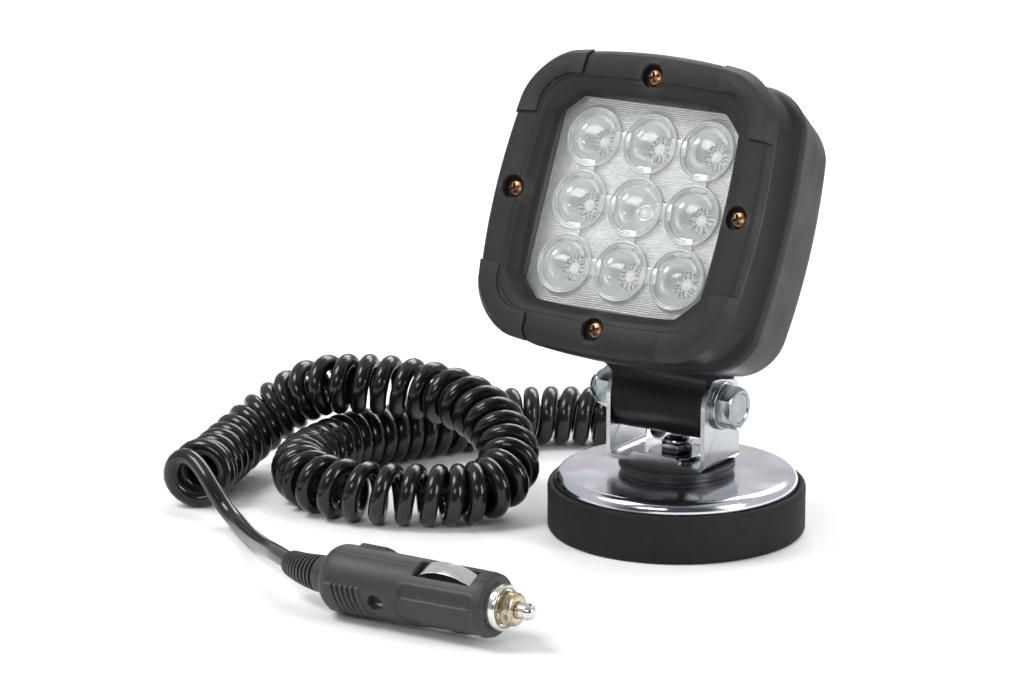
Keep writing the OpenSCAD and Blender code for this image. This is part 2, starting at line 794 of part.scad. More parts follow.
// A bowed spring strip that stands a little proud of the barrel, with its feet inside
module leaf(side) {
    length = leaf_at[1] - leaf_at[0] - 1;
    mid = (leaf_at[0] + leaf_at[1]) / 2;
    rise = 3.4;
    bow = (length * length / 4 + rise * rise) / (2 * rise);
    crest = plug_r + leaf_proud;
    plug_frame() scale([1, 1, side]) translate([mid, leaf_w / 2, crest - bow]) rotate([90, 0, 0])
        linear_extrude(leaf_w) intersection() {
            difference() {
                circle(bow, $fn = 180);
                circle(bow - 0.5, $fn = 180);
            }
            translate([-length / 2, 0]) square([length, 2 * bow]);
        }
}

module leaf_contact_top() {
    color([0.80, 0.79, 0.76]) leaf(1);
}

module leaf_contact_bottom() {
    color([0.80, 0.79, 0.76]) leaf(-1);
}

rubber_boot();
magnet_cup();
ring_magnet();
pole_core();
base_stud();
spacer_disc();
base_washer();
base_nut();
base_nut_insert();
bracket();
pivot_bolt();
pivot_washers();
pivot_nut();
pivot_nut_insert();
pivot_sleeve();
housing();
bezel();
bezel_screws();
lens_gasket();
cover_lens();
optic_array();
led_packages();
led_board();
board_screws();
heat_sink();
sink_screws();
driver_board();
driver_parts();
driver_screws();
breather_vent();
cable_gland();
gland_seal();
gland_nut();
inner_leads();
cord_tail();
cord_coil();
cord_lead();
plug_strain_relief();
plug_shell_near();
plug_shell_far();
plug_screw();
plug_nut();
plug_cap();
plug_tip_collar();
tip_contact();
tip_spring();
fuse();
leaf_contact_top();
leaf_contact_bottom();
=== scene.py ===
"""Looks for the square LED work light: camera, stage, cord, lamp, bracket, base and plug.

Meshes are made in millimetres and scaled to metres as they become pieces.
"""
import bisect
import json
import math
import random

import bmesh
import bpy
from mathutils import Matrix, Vector


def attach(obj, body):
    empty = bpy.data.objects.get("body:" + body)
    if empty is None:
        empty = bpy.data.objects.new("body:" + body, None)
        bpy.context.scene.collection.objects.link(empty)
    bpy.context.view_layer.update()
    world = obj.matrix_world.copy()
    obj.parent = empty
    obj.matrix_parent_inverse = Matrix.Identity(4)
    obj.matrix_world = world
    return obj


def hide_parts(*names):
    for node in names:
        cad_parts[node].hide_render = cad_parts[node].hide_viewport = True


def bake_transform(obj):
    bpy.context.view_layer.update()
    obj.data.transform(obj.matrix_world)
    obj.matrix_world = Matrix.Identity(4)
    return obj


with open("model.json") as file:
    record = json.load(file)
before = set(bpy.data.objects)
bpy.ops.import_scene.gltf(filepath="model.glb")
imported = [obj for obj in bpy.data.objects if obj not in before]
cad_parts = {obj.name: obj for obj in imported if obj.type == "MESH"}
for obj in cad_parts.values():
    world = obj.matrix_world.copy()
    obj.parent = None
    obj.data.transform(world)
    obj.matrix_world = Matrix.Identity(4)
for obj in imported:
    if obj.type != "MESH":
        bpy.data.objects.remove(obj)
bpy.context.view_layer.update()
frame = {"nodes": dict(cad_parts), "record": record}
MM = 0.001
HERE = Matrix.Identity(4)


# ---------- camera, floor and light ----------

def linked(name, data):
    """A new object in the scene for this camera, light or mesh."""
    made = bpy.data.objects.new(name, data)
    bpy.context.scene.collection.objects.link(made)
    return made


def make_camera():
    data = bpy.data.cameras.new("camera")
    data.sensor_width = 36
    data.lens = 141.5
    data.clip_end = 20
    camera = linked("camera", data)
    camera.location = (0.65899, -1.08815, 0.39420)
    camera.rotation_euler = (math.radians(90 - 14.60), 0, math.radians(33.64))
    bpy.context.scene.camera = camera


def area_light(name, place, target, size, power, shade=(1, 1, 1)):
    data = bpy.data.lights.new(name, "AREA")
    data.shape = "RECTANGLE"
    data.size, data.size_y = size
    data.energy = power
    data.color = shade
    light = linked(name, data)
    light.location = place
    aim = Vector(target) - Vector(place)
    light.rotation_euler = aim.to_track_quat("-Z", "Y").to_euler()


def make_studio():
    bpy.context.scene.view_settings.view_transform = "Standard"
    world = bpy.data.worlds.new("studio")
    bpy.context.scene.world = world
    world.use_nodes = True
    tree = world.node_tree
    way = node(tree, "ShaderNodeTexCoord").outputs["Generated"]
    front = node(tree, "ShaderNodeVectorMath", {0: way, 1: (0.42, -0.88, 0.22)}, operation="DOT_PRODUCT")
    shade = ramp(tree, front.outputs["Value"], [(0.35, (0.95, 0.97, 1)), (0.80, (0.10, 0.105, 0.12))])
    sky = tree.nodes["Background"]
    tree.links.new(shade, sky.inputs["Color"])
    sky.inputs["Strength"].default_value = 0.66
    area_light("key", (-0.55, -0.55, 1.05), (0, 0, 0.05), (0.5, 0.5), 9)
    area_light("side", (1.15, -0.05, 0.5), (0, 0, 0.08), (0.3, 0.7), 8)
    area_light("front", (0.15, -1.25, 0.75), (-0.03, -0.05, 0.05), (0.6, 0.3), 4)
    area_light("back", (-0.2, 1.1, 1.0), (0, 0, 0.05), (1.3, 0.6), 14)
    mesh = bpy.data.meshes.new("floor")
    reach = 6.0
    corners = [(-reach, -reach, 0), (reach, -reach, 0), (reach, reach, 0), (-reach, reach, 0)]
    mesh.from_pydata(corners, [], [(0, 1, 2, 3)])
    floor = linked("floor", mesh)
    paper = bpy.data.materials.new("paper")
    paper.use_nodes = True
    shader = paper.node_tree.nodes["Principled BSDF"]
    shader.inputs["Base Color"].default_value = (0.95, 0.95, 0.95, 1)
    shader.inputs["Roughness"].default_value = 0.9
    mesh.materials.append(paper)


# ---------- materials ----------

def node(tree, kind, inputs=None, **settings):
    made = tree.nodes.new(kind)
    for key, value in settings.items():
        setattr(made, key, value)
    for key, value in (inputs or {}).items():
        if isinstance(value, bpy.types.NodeSocket):
            tree.links.new(value, made.inputs[key])
        else:
            made.inputs[key].default_value = value
    return made


def noise_of(tree, scale, detail=3.0, stretch=(1, 1, 1)):
    """Noise over the object's own coordinates, in metres; scale is cells per metre."""
    place = node(tree, "ShaderNodeTexCoord").outputs["Object"]
    squeezed = node(tree, "ShaderNodeMapping", {"Vector": place, "Scale": stretch})
    made = node(tree, "ShaderNodeTexNoise", {"Vector": squeezed.outputs[0], "Scale": scale, "Detail": detail})
    return made.outputs["Fac"]


def ramp(tree, fac, stops):
    made = node(tree, "ShaderNodeValToRGB", {"Fac": fac})
    elements = made.color_ramp.elements
    while len(elements) < len(stops):
        elements.new(0.5)
    for element, (at, shade) in zip(elements, stops):
        element.position = at
        element.color = (*shade, 1)
    return made.outputs["Color"]


def between(tree, fac, low, high):
    made = node(tree, "ShaderNodeMapRange", {"Value": fac, "From Min": 0.3, "From Max": 0.7,
                                             "To Min": low, "To Max": high})
    return made.outputs["Result"]


def mixed(tree, fac, a, b):
    made = node(tree, "ShaderNodeMix", data_type="RGBA")
    for key, value in ((0, fac), (6, a), (7, b)):
        if isinstance(value, bpy.types.NodeSocket):
            tree.links.new(value, made.inputs[key])
        else:
            made.inputs[key].default_value = value if key == 0 else (*value, 1)
    return made.outputs[2]


def finish_of(name, stops, rough, metal=0.0, spots=30, grain=1500, bump=0.1, depth=0.1,
              stretch=(1, 1, 1), wear=0.0, coat=0.0, specular=0.5):
    """A material with patchy colour and gloss, fine relief and, with wear, lighter edges.

    stops are the colours of the patches, rough the lowest and highest roughness, spots and
    grain the cells per metre of patches and relief, and depth the relief's height in mm.
    """
    material = bpy.data.materials.new(name)
    material.use_nodes = True
    tree = material.node_tree
    shader = tree.nodes["Principled BSDF"]
    patches = noise_of(tree, spots, 4)
    fine = noise_of(tree, grain, 2, stretch)
    colour = ramp(tree, patches, [(0.3 + 0.4 * i / max(len(stops) - 1, 1), s) for i, s in enumerate(stops)])
    speck = tuple(min(c * 1.9 + 0.004, 1) for c in stops[0])
    colour = mixed(tree, between(tree, fine, 0.0, 0.22), colour, speck)
    if wear:
        edge = node(tree, "ShaderNodeNewGeometry").outputs["Pointiness"]
        worn = node(tree, "ShaderNodeMapRange", {"Value": edge, "From Min": 0.52, "From Max": 0.62,
                                                 "To Min": 0.0, "To Max": wear})
        colour = mixed(tree, worn.outputs["Result"], colour, tuple(min(c * 3 + 0.03, 1) for c in stops[-1]))
    tree.links.new(colour, shader.inputs["Base Color"])
    gloss = between(tree, noise_of(tree, spots * 2.3, 5), *rough)
    tree.links.new(gloss, shader.inputs["Roughness"])
    relief = node(tree, "ShaderNodeBump", {"Height": fine, "Strength": bump, "Distance": depth * MM})
    tree.links.new(relief.outputs["Normal"], shader.inputs["Normal"])
    shader.inputs["Metallic"].default_value = metal
    shader.inputs["Coat Weight"].default_value = coat
    shader.inputs["Coat Roughness"].default_value = 0.08
    shader.inputs["Specular IOR Level"].default_value = specular
    return material


def clear(name, alpha, tint=(0.93, 0.96, 0.96)):
    """See-through plastic with faint flow lines in its gloss."""
    material = finish_of(name, [tint, tuple(0.98 * c for c in tint)], (0.02, 0.06), spots=60,
                         grain=120, bump=0.05, depth=0.05, specular=0.8)
    material.node_tree.nodes["Principled BSDF"].inputs["Alpha"].default_value = alpha
    return material


def make_materials():
    """Every paint by the name of its slot, with the optics' extra ones."""
    black = [(0.013, 0.012, 0.012), (0.017, 0.015, 0.015)]
    satin = [(0.007, 0.0075, 0.009), (0.010, 0.011, 0.013)]
    plug = [(0.020, 0.020, 0.022), (0.026, 0.025, 0.028)]
    relief = [(0.022, 0.022, 0.023), (0.03, 0.03, 0.031)]
    rubber = [(0.010, 0.009, 0.010), (0.015, 0.013, 0.014)]
    seal = [(0.03, 0.03, 0.03), (0.05, 0.05, 0.05)]
    cord = [(0.006, 0.006, 0.007), (0.010, 0.010, 0.011)]
    cup = [(0.52, 0.52, 0.60), (0.70, 0.66, 0.68), (0.68, 0.62, 0.70), (0.62, 0.65, 0.70), (0.74, 0.69, 0.62)]
    zinc = [(0.22, 0.25, 0.27), (0.34, 0.36, 0.37), (0.29, 0.29, 0.31), (0.38, 0.37, 0.34)]
    steel = [(0.42, 0.42, 0.44), (0.5, 0.5, 0.52)]
    aluminium = [(0.62, 0.63, 0.65), (0.7, 0.7, 0.72)]
    bronze = [(0.09, 0.045, 0.026), (0.32, 0.18, 0.10), (0.15, 0.085, 0.05)]
    brass = [(0.55, 0.38, 0.16), (0.62, 0.46, 0.22)]
    nickel = [(0.62, 0.60, 0.55), (0.74, 0.72, 0.68)]
    worn_nickel = [(0.20, 0.15, 0.09), (0.46, 0.40, 0.31), (0.36, 0.29, 0.20)]
    ferrite = [(0.03, 0.03, 0.032), (0.05, 0.05, 0.052)]
    blue = [(0.05, 0.10, 0.28), (0.07, 0.14, 0.34)]
    white = [(0.78, 0.79, 0.77), (0.84, 0.84, 0.83)]
    green = [(0.01, 0.10, 0.04), (0.015, 0.14, 0.06)]
    dark = [(0.03, 0.03, 0.035), (0.05, 0.05, 0.055)]
    optic = [(0.47, 0.48, 0.48), (0.55, 0.56, 0.56)]
    phosphor = [(0.92, 0.91, 0.82), (0.96, 0.95, 0.90)]
    mirror = [(0.84, 0.86, 0.86), (0.92, 0.94, 0.94)]
    dimple = [(0.03, 0.03, 0.035), (0.14, 0.14, 0.15)]
    # Name, colours, roughness, metal, then what differs from the defaults
    finishes = [
        ("bezel_black", black, (0.50, 0.62), 0,
         dict(grain=1600, bump=0.35, depth=0.12, wear=0.25, specular=0.28)),
        ("housing_black", satin, (0.40, 0.52), 0, dict(grain=1300, bump=0.25, wear=0.2, specular=0.16)),
        ("plug_black", plug, (0.42, 0.55), 0, dict(grain=1500, bump=0.35, depth=0.12, wear=0.25)),
        ("relief_black", relief, (0.4, 0.52), 0, dict(grain=1100, bump=0.15, wear=0.15)),
        ("gland_black", satin, (0.4, 0.5), 0, dict(grain=1200, bump=0.15, wear=0.2)),
        ("boot_rubber", rubber, (0.62, 0.78), 0,
         dict(spots=45, grain=900, bump=0.3, depth=0.15, wear=0.3, specular=0.2)),
        ("soft_seal", seal, (0.6, 0.8), 0, dict(grain=900)),
        ("cord_black", cord, (0.16, 0.26), 0,
         dict(spots=80, grain=260, bump=0.12, depth=0.12, coat=0.25, specular=0.3)),
        ("cup_zinc", cup, (0.10, 0.22), 1,
         dict(spots=38, grain=700, bump=0.05, depth=0.08, stretch=(1, 6, 1))),
        ("zinc_steel", zinc, (0.14, 0.26), 1, dict(spots=120, grain=900, bump=0.12, depth=0.06, wear=0.3)),
        ("zinc_sheet", zinc, (0.17, 0.30), 1,
         dict(spots=70, grain=260, bump=0.16, depth=0.06, stretch=(1, 1, 0.15), wear=0.3)),
        ("plain_steel", steel, (0.25, 0.4), 1, dict(grain=900, bump=0.2)),
        ("sink_aluminium", aluminium, (0.3, 0.45), 1, dict(grain=700, bump=0.2, stretch=(1, 1, 0.1))),
        ("bronze_screw", bronze, (0.22, 0.42), 1,
         dict(spots=420, grain=1600, bump=0.25, depth=0.08, wear=0.4)),
        ("bronze_bush", brass, (0.3, 0.45), 1, {}),
        ("plug_nickel", nickel, (0.12, 0.24), 1,
         dict(spots=160, grain=800, bump=0.15, depth=0.06, stretch=(0.1, 1, 1), wear=0.3)),
        ("collar_nickel", worn_nickel, (0.2, 0.38), 1, dict(spots=260, grain=1200, bump=0.2, wear=0.5)),
        ("ferrite", ferrite, (0.5, 0.7), 0, dict(grain=1500, bump=0.3)),
        ("nylon", blue, (0.3, 0.45), 0, dict(grain=900)),
        ("white_board", white, (0.35, 0.5), 0, dict(grain=1200)),
        ("green_board", green, (0.3, 0.45), 0, dict(grain=900)),
        ("dark_parts", dark, (0.35, 0.5), 0, dict(grain=1100)),
        ("clear_optic", optic, (0.12, 0.24), 0.2, dict(spots=90, grain=400, bump=0.08, depth=0.08, coat=0.5)),
        ("led_phosphor", phosphor, (0.3, 0.4), 0, dict(grain=2500)),
        ("reflector", mirror, (0.05, 0.12), 0.62, dict(spots=200, grain=500)),
        ("dimple_grey", dimple, (0.2, 0.3), 0, dict(grain=1500)),
    ]
    paints = {name: finish_of(name, *look, **rest) for name, *look, rest in finishes}
    for name, alpha in (("fuse_glass", 0.45), ("clear_lens", 0.07), ("optic_dome", 0.07)):
        paints[name] = clear(name, alpha)
    return paints


# ---------- meshes ----------

def from_points(points, faces):
    mesh = bpy.data.meshes.new("mesh")
    mesh.from_pydata([tuple(p) for p in points], [], faces)
    work = bmesh.new()
    work.from_mesh(mesh)
    bmesh.ops.remove_doubles(work, verts=work.verts, dist=1e-4)
    bmesh.ops.recalc_face_normals(work, faces=work.faces)
    work.to_mesh(mesh)
    work.free()
    return mesh


def loft(rings, closed=False, caps=True):
    """A skin over rings of points. A closed loft joins the last ring to the first."""
    sides = len(rings[0])
    points = [p for ring in rings for p in ring]
    faces = []
    for i in range(len(rings) if closed else len(rings) - 1):
        a, b = i * sides, (i + 1) % len(rings) * sides
        for k in range(sides):
            n = (k + 1) % sides
            faces.append((a + k, a + n, b + n, b + k))
    if caps and not closed:
        faces.append(tuple(reversed(range(sides))))
        faces.append(tuple(range((len(rings) - 1) * sides, len(rings) * sides)))
    return from_points(points, faces)


def on_circle(r, k, sides, h=0.0):
    """Point k of the sides points on a circle about Z."""
    a = 2 * math.pi * k / sides
    return Vector((r * math.cos(a), r * math.sin(a), h))


def lathe(outline, sides=96, closed=False):
    """A solid turned about Z from an outline of (radius, height) pairs."""
    rings = [[on_circle(r, k, sides, h) for k in range(sides)] for r, h in outline]
    return loft(rings, closed, caps=False)


def prism(outline, low, high):
    return loft([[Vector((x, y, h)) for x, y in outline] for h in (low, high)])


def softened(outline, size, steps=3, closed=False):
    """The outline with each corner rounded, starting at this distance from the corner."""
    made = []
    count = len(outline)
    for i, corner in enumerate(outline):
        if not closed and i in (0, count - 1):
            made.append(corner)
            continue
        corner = Vector(corner)
        ends = []
        for other in (outline[i - 1], outline[(i + 1) % count]):
            away = Vector(other) - corner
            ends.append(corner + away.normalized() * min(size, away.length * 0.45))
        for k in range(steps + 1):
            t = k / steps
            made.append(tuple(ends[0].lerp(corner, t).lerp(corner.lerp(ends[1], t), t)))
    return made


def combine(mesh, other, operation):
    """The union, difference or intersection of two closed meshes."""
    base = linked("base", mesh)
    tool = linked("tool", other)
    change = base.modifiers.new("combine", "BOOLEAN")
    change.operation = operation
    change.object = tool
    change.solver = "EXACT"
    made = bpy.data.meshes.new_from_object(base.evaluated_get(bpy.context.evaluated_depsgraph_get()))
    bpy.data.objects.remove(base)
    bpy.data.objects.remove(tool)
    return made


def joined(meshes):
    work = bmesh.new()
    for mesh in meshes:
        work.from_mesh(mesh)
    made = bpy.data.meshes.new("mesh")
    work.to_mesh(made)
    work.free()
    return made


def copies(mesh, places):
    made = []
    for place in places:
        twin = mesh.copy()
        twin.transform(place)
        made.append(twin)
    return joined(made)


def bevelled(mesh, width, segments=2, angle=30):
    work = bmesh.new()
    work.from_mesh(mesh)
    bmesh.ops.remove_doubles(work, verts=work.verts, dist=1e-3)
    bmesh.ops.dissolve_limit(work, angle_limit=math.radians(1), verts=work.verts, edges=work.edges)
    sharp = [e for e in work.edges if e.is_manifold and e.calc_face_angle(0) > math.radians(angle)]
    bmesh.ops.bevel(work, geom=sharp, offset=width, segments=segments, profile=0.5, affect="EDGES",
                    clamp_overlap=True)
    work.to_mesh(mesh)
    work.free()
    return mesh


def shift(x=0.0, y=0.0, z=0.0):
    return Matrix.Translation((x, y, z))


def turn(degrees, axis):
    return Matrix.Rotation(math.radians(degrees), 4, axis)


def new_piece(name, mesh, body, slot, replaces=(), at=HERE, angle=35, paint=None):
    """Puts a mesh in the scene as a piece of the object that rides on a body."""
    mesh.transform(Matrix.Scale(MM, 4) @ at)
    mesh.name = name
    mesh.shade_smooth()
    mesh.set_sharp_from_angle(angle=math.radians(angle))
    mesh.materials.clear()
    mesh.materials.append(PAINTS[paint or slot])
    piece = linked(name, mesh)
    if body:
        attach(piece, body)
    if replaces:
        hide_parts(*replaces)
    return piece


# ---------- cord ----------

CORD_D = 5.7
COIL_R = 7.6                      # from the middle of the coil to the middle of the cord
LAST_LOOP_R = 9.0                 # the loop that the lead comes out of is wider
COIL_ROUTE = [(-142.5, -74.5, 10.5), (-149, -58, 10.5), (-154, -41, 11.5), (-154, -26, 16),
              (-148, -16, 23), (-138, -12, 29.5), (-127, -9, 31.8), (-115, -3, 31.8),
              (-104, 1, 31), (-93, 2, 30.2), (-81, 0, 28.5), (-69, -5, 25.5),
              (-59, -12, 20.8), (-53, -21, 15.8), (-54, -31, 12), (-61, -39, 10.5),
              (-72, -46, 10.5), (-85, -52, 10.5), (-98, -54, 10.5), (-110, -52, 10.5),
              (-120, -45, 10.5), (-126, -34, 10.5), (-128, -21, 10.5), (-128, -9, 10.5),
              (-124, 5, 10.5), (-118, 18, 10.5), (-111, 30, 10.5), (-104, 42, 10.5),
              (-97, 52, 10.5), (-88, 60, 10.5), (-76, 67, 10.5), (-62, 74, 10.5),
              (-48, 80, 10.5)]
LEAD_ROUTE = [(-140.4, -77, 18), (-135, -78.5, 15), (-130, -80, 10.5), (-125, -81, 6),
              (-118, -84, 3.2), (-110, -90, 2.9), (-100, -98.3, 4), (-90, -107, 6),
              (-81.5, -114.3, 7.9), (-73, -121, 9.5), (-62.8, -127.7, 10.4)]
TAIL_ROUTE = [(0, 10.8, 63.3), (0, 17, 60.4), (0, 23, 57), (-3, 35, 48), (-9, 49, 35),
              (-17, 62, 21), (-27, 72, 12), (-37, 77.5, 9.5), (-46.2, 80.6, 10.5)]
# How far apart the turns lie, by the distance along the coil from the plug's end
PITCHES = [(0, 11.5), (12, 6.4), (95, 7.0), (130, 8.4), (190, 5.9), (215, 8.4), (240, 8.2),
           (262, 5.8), (330, 5.8), (345, 6.8), (431, 7.0)]
START_TURN = 0.25                 # the coil starts at its top
TURN_STEPS = 26


def smooth(route, steps):
    """The route with this many smooth steps between neighbouring points."""
    points = [Vector(p) for p in route]
    last = len(points) - 1
    made = []
    for i in range(last):
        a, b = points[max(i - 1, 0)], points[i]
        c, d = points[i + 1], points[min(i + 2, last)]
        for k in range(steps):
            t = k / steps
            made.append(0.5 * (2 * b + (c - a) * t + (2 * a - 5 * b + 4 * c - d) * t * t
                               + (3 * b - a - 3 * c + d) * t ** 3))
    return made + [points[last]]


def lengths(path):
    total = [0.0]
    for a, b in zip(path, path[1:]):
        total.append(total[-1] + (b - a).length)
    return total


def at_length(path, along, s):
    """The point and the direction at a distance along a path."""
    i = min(max(bisect.bisect_right(along, s) - 1, 0), len(path) - 2)
    t = (s - along[i]) / (along[i + 1] - along[i])
    ahead = path[min(i + 2, len(path) - 1)] - path[min(i + 1, len(path) - 2)]
    behind = path[i + 1] - path[i]
    return path[i].lerp(path[i + 1], t), behind.lerp(ahead, t).normalized()


def table_value(table, x):
    for (x0, y0), (x1, y1) in zip(table, table[1:]):
        if x <= x1:
            return y0 + (y1 - y0) * (x - x0) / (x1 - x0)
    return table[-1][1]


def coil_points():
    """The cord's middle line round the coil, from the plug's end to the lamp's end."""
    axis = smooth(COIL_ROUTE, 12)
    along = lengths(axis)
    radii = [(0, LAST_LOOP_R), (6, LAST_LOOP_R), (16, COIL_R), (along[-1] - 9, COIL_R), (along[-1], 3.0)]
    made, s, turns = [], 0.0, START_TURN
    while s < along[-1]:
        middle, heading = at_length(axis, along, s)
        side = heading.cross(Vector((0, 0, 1))).normalized()
        up = side.cross(heading)
        angle = 2 * math.pi * turns
        lift = Vector((0, 0, max(table_value(radii, s) - COIL_R, 0)))
        made.append(middle + lift
                    + table_value(radii, s) * (math.cos(angle) * side + math.sin(angle) * up))
        s += table_value(PITCHES, s) / TURN_STEPS
        turns += 1 / TURN_STEPS
    return made


def eased(line, middle, reach, rounds):
    """The line smoothed near the middle point, less and less towards the ends of this reach."""
    line = list(line)
    for _ in range(rounds):
        line = [p if abs(i - middle) >= reach or i in (0, len(line) - 1)
                else p.lerp((line[i - 1] + line[i + 1]) / 2, 0.5 - 0.5 * abs(i - middle) / reach)
                for i, p in enumerate(line)]
    return line


def cord_line():
    """The whole cord's middle line, from the gland to the plug's strain relief."""
    lead = smooth(LEAD_ROUTE, 4)
    tail = smooth(TAIL_ROUTE, 4)
    coil = list(reversed(coil_points()))[12:]
    line = eased(tail[:-1] + coil, len(tail), 24, 60)
    line = eased(line + lead[2:], len(line), 8, 10)
    low = CORD_D / 2 + 0.02
    return [Vector((p.x, p.y, max(p.z, low))) for p in line]


def tube_rings(line, radius, sides):
    """Rings along a line, each carried on from the one before without twisting."""
    rings = []
    normal = Vector((1, 0, 0))
    for i, p in enumerate(line):
        heading = (line[min(i + 1, len(line) - 1)] - line[max(i - 1, 0)]).normalized()
        normal = (normal - heading * normal.dot(heading)).normalized()
        across = heading.cross(normal)
        rings.append([p + radius * (math.cos(2 * math.pi * k / sides) * normal
                                    + math.sin(2 * math.pi * k / sides) * across)
                      for k in range(sides)])
    return rings


def make_cord(plug_pieces):
    line = cord_line()
    piece = new_piece("curly_cord", loft(tube_rings(line, CORD_D / 2, 16)), None,
                      "cord_black", ("cord_tail", "cord_coil", "cord_lead"))
    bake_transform(piece)
    return piece


# ---------- magnetic base ----------

CUP_R = 40.0
CUP_TOP = 19.9
BOOT_R = 42.5
BOOT_H = 16.0
SPACER_TOP = 23.35


def make_base():
    wall = CUP_R + 0.1
    lip = BOOT_R + 0.05
    boot = [(0, 0), (BOOT_R - 1, 0), (BOOT_R, 1), (BOOT_R, 12.6), (lip, 13), (lip, 14.6),
            (BOOT_R - 0.4, BOOT_H), (CUP_R + 0.9, BOOT_H), (wall, BOOT_H - 0.9), (wall, 1), (0, 1)]
    new_piece("boot", lathe(softened(boot, 0.6), 160), "base", "boot_rubber", ("rubber_boot",))
    shoulder = 3.4
    side = [(CUP_R - shoulder + shoulder * math.sin(a), CUP_TOP - shoulder + shoulder * math.cos(a))
            for a in [math.radians(7.5 * k) for k in range(13)]]
    cup = [(3.1, 14), (3.1, CUP_TOP)] + side + [(CUP_R, 1.05), (CUP_R - 3, 1.05), (CUP_R - 3, 14)]
    new_piece("steel_cup", lathe(cup, 192, closed=True), "base", "cup_zinc", ("magnet_cup",))
    step = 1.7
    disc = [(3.1, CUP_TOP + 0.02), (18.6, CUP_TOP + 0.02), (18.6, CUP_TOP + step), (19.2, CUP_TOP + step),
            (19.2, SPACER_TOP), (3.1, SPACER_TOP)]
    new_piece("spacer", lathe(softened(disc, 0.35, closed=True), 128, closed=True), "base",
              "gland_black", ("spacer_disc",))


def washer(inner, outer, height):
    ring = [(inner, 0), (outer, 0), (outer, height), (inner, height)]
    return lathe(softened(ring, 0.3, closed=True), 72, closed=True)


def hexagon_solid(across, height, bore, chamfer_low=False):
    """A hexagon about Z with its corners turned off at the top and, when asked, below."""
    corner = across / math.sqrt(3)
    points = [(corner * math.cos(math.radians(60 * k)), corner * math.sin(math.radians(60 * k)))
              for k in range(6)]
    body = prism(points, 0, height)
    fall = (corner + 0.4 - across * 0.46) * math.tan(math.radians(28))
    low = [(0, -0.001), (across * 0.47, -0.001), (corner + 0.4, fall)] if chamfer_low else [
        (0, -0.001), (corner + 0.4, -0.001)]
    turned = low + [(corner + 0.4, height - fall), (across * 0.46, height + 0.001), (0, height + 0.001)]
    body = combine(body, lathe(turned, 96), "INTERSECT")
    if bore:
        body = combine(body, lathe([(0, -1), (bore, -1), (bore, height + 1), (0, height + 1)], 48),
                       "DIFFERENCE")
    return bevelled(body, 0.16, 2, 25)


def thread(radius, pitch, low, high):
    """A threaded rod about Z with a chamfered end."""
    sides, depth = 36, pitch * 0.55
    rows = int((high - low) / pitch * 8)
    rings = []
    for i in range(rows + 1):
        h = low + (high - low) * i / rows
        ring = []
        for k in range(sides):
            wave = abs(((h / pitch - k / sides) % 1) * 2 - 1)
            r = min(radius - depth * wave, radius - 0.9 + (high - h) * 1.2)
            ring.append(on_circle(r, k, sides, h))
        rings.append(ring)
    return loft(rings)


WASHER_Z = 24.95
M6_FLAT = 10.0
M6_H = 5.0


def lock_nut(across, height, bore, hex_part):
    """A hexagon nut with a rolled collar that holds the nylon ring."""
    nut = hexagon_solid(across, height * hex_part, bore, chamfer_low=True)
    wide = across * 0.455
    low = height * hex_part - 1
    collar = [(bore + 0.35, low), (wide, low), (wide, height - 1.2), (wide - 0.3, height - 0.5),
              (wide - 1.0, height), (wide - 1.5, height - 0.1), (wide - 1.6, height - 0.6),
              (bore + 0.35, height - 0.9)]
    return joined([nut, lathe(softened(collar, 0.25, closed=True), 72, closed=True)])


def nylon_ring(bore, outer, low, high):
    ring = [(bore, low), (outer, low), (outer, high), (bore, high)]
    return lathe(softened(ring, 0.3, closed=True), 48, closed=True)


def make_base_fixings():
    new_piece("base_flat_washer", washer(3.1, 9.4, 1.2), "base", "zinc_steel", ("base_washer",),
              shift(z=WASHER_Z))
    seat = WASHER_Z + 1.2
    new_piece("base_lock_nut", lock_nut(M6_FLAT, M6_H, 3.0, 0.72), "base", "zinc_steel", ("base_nut",),
              shift(z=seat) @ turn(-57, "Z"))
    new_piece("base_nylon_ring", nylon_ring(2.7, 3.3, M6_H - 1.8, M6_H - 0.5), "base", "nylon",
              ("base_nut_insert",), shift(z=seat))
    new_piece("threaded_stud", thread(2.95, 1.0, 3.2, 31.6), "base", "zinc_steel", ("base_stud",))


# ---------- bracket and pivot ----------

PIVOT_Z = 44.1
EAR_OUT = 18.75
EARS_AT = -1.6                    # the ears' middle, to the left of the stud
SHEET = 1.5
EAR_R = 11.2
PLATE_Z = 23.4


def arc(cx, cy, r, start, end, steps):
    return [(cx + r * math.cos(math.radians(start + (end - start) * k / steps)),
             cy + r * math.sin(math.radians(start + (end - start) * k / steps))) for k in range(steps + 1)]


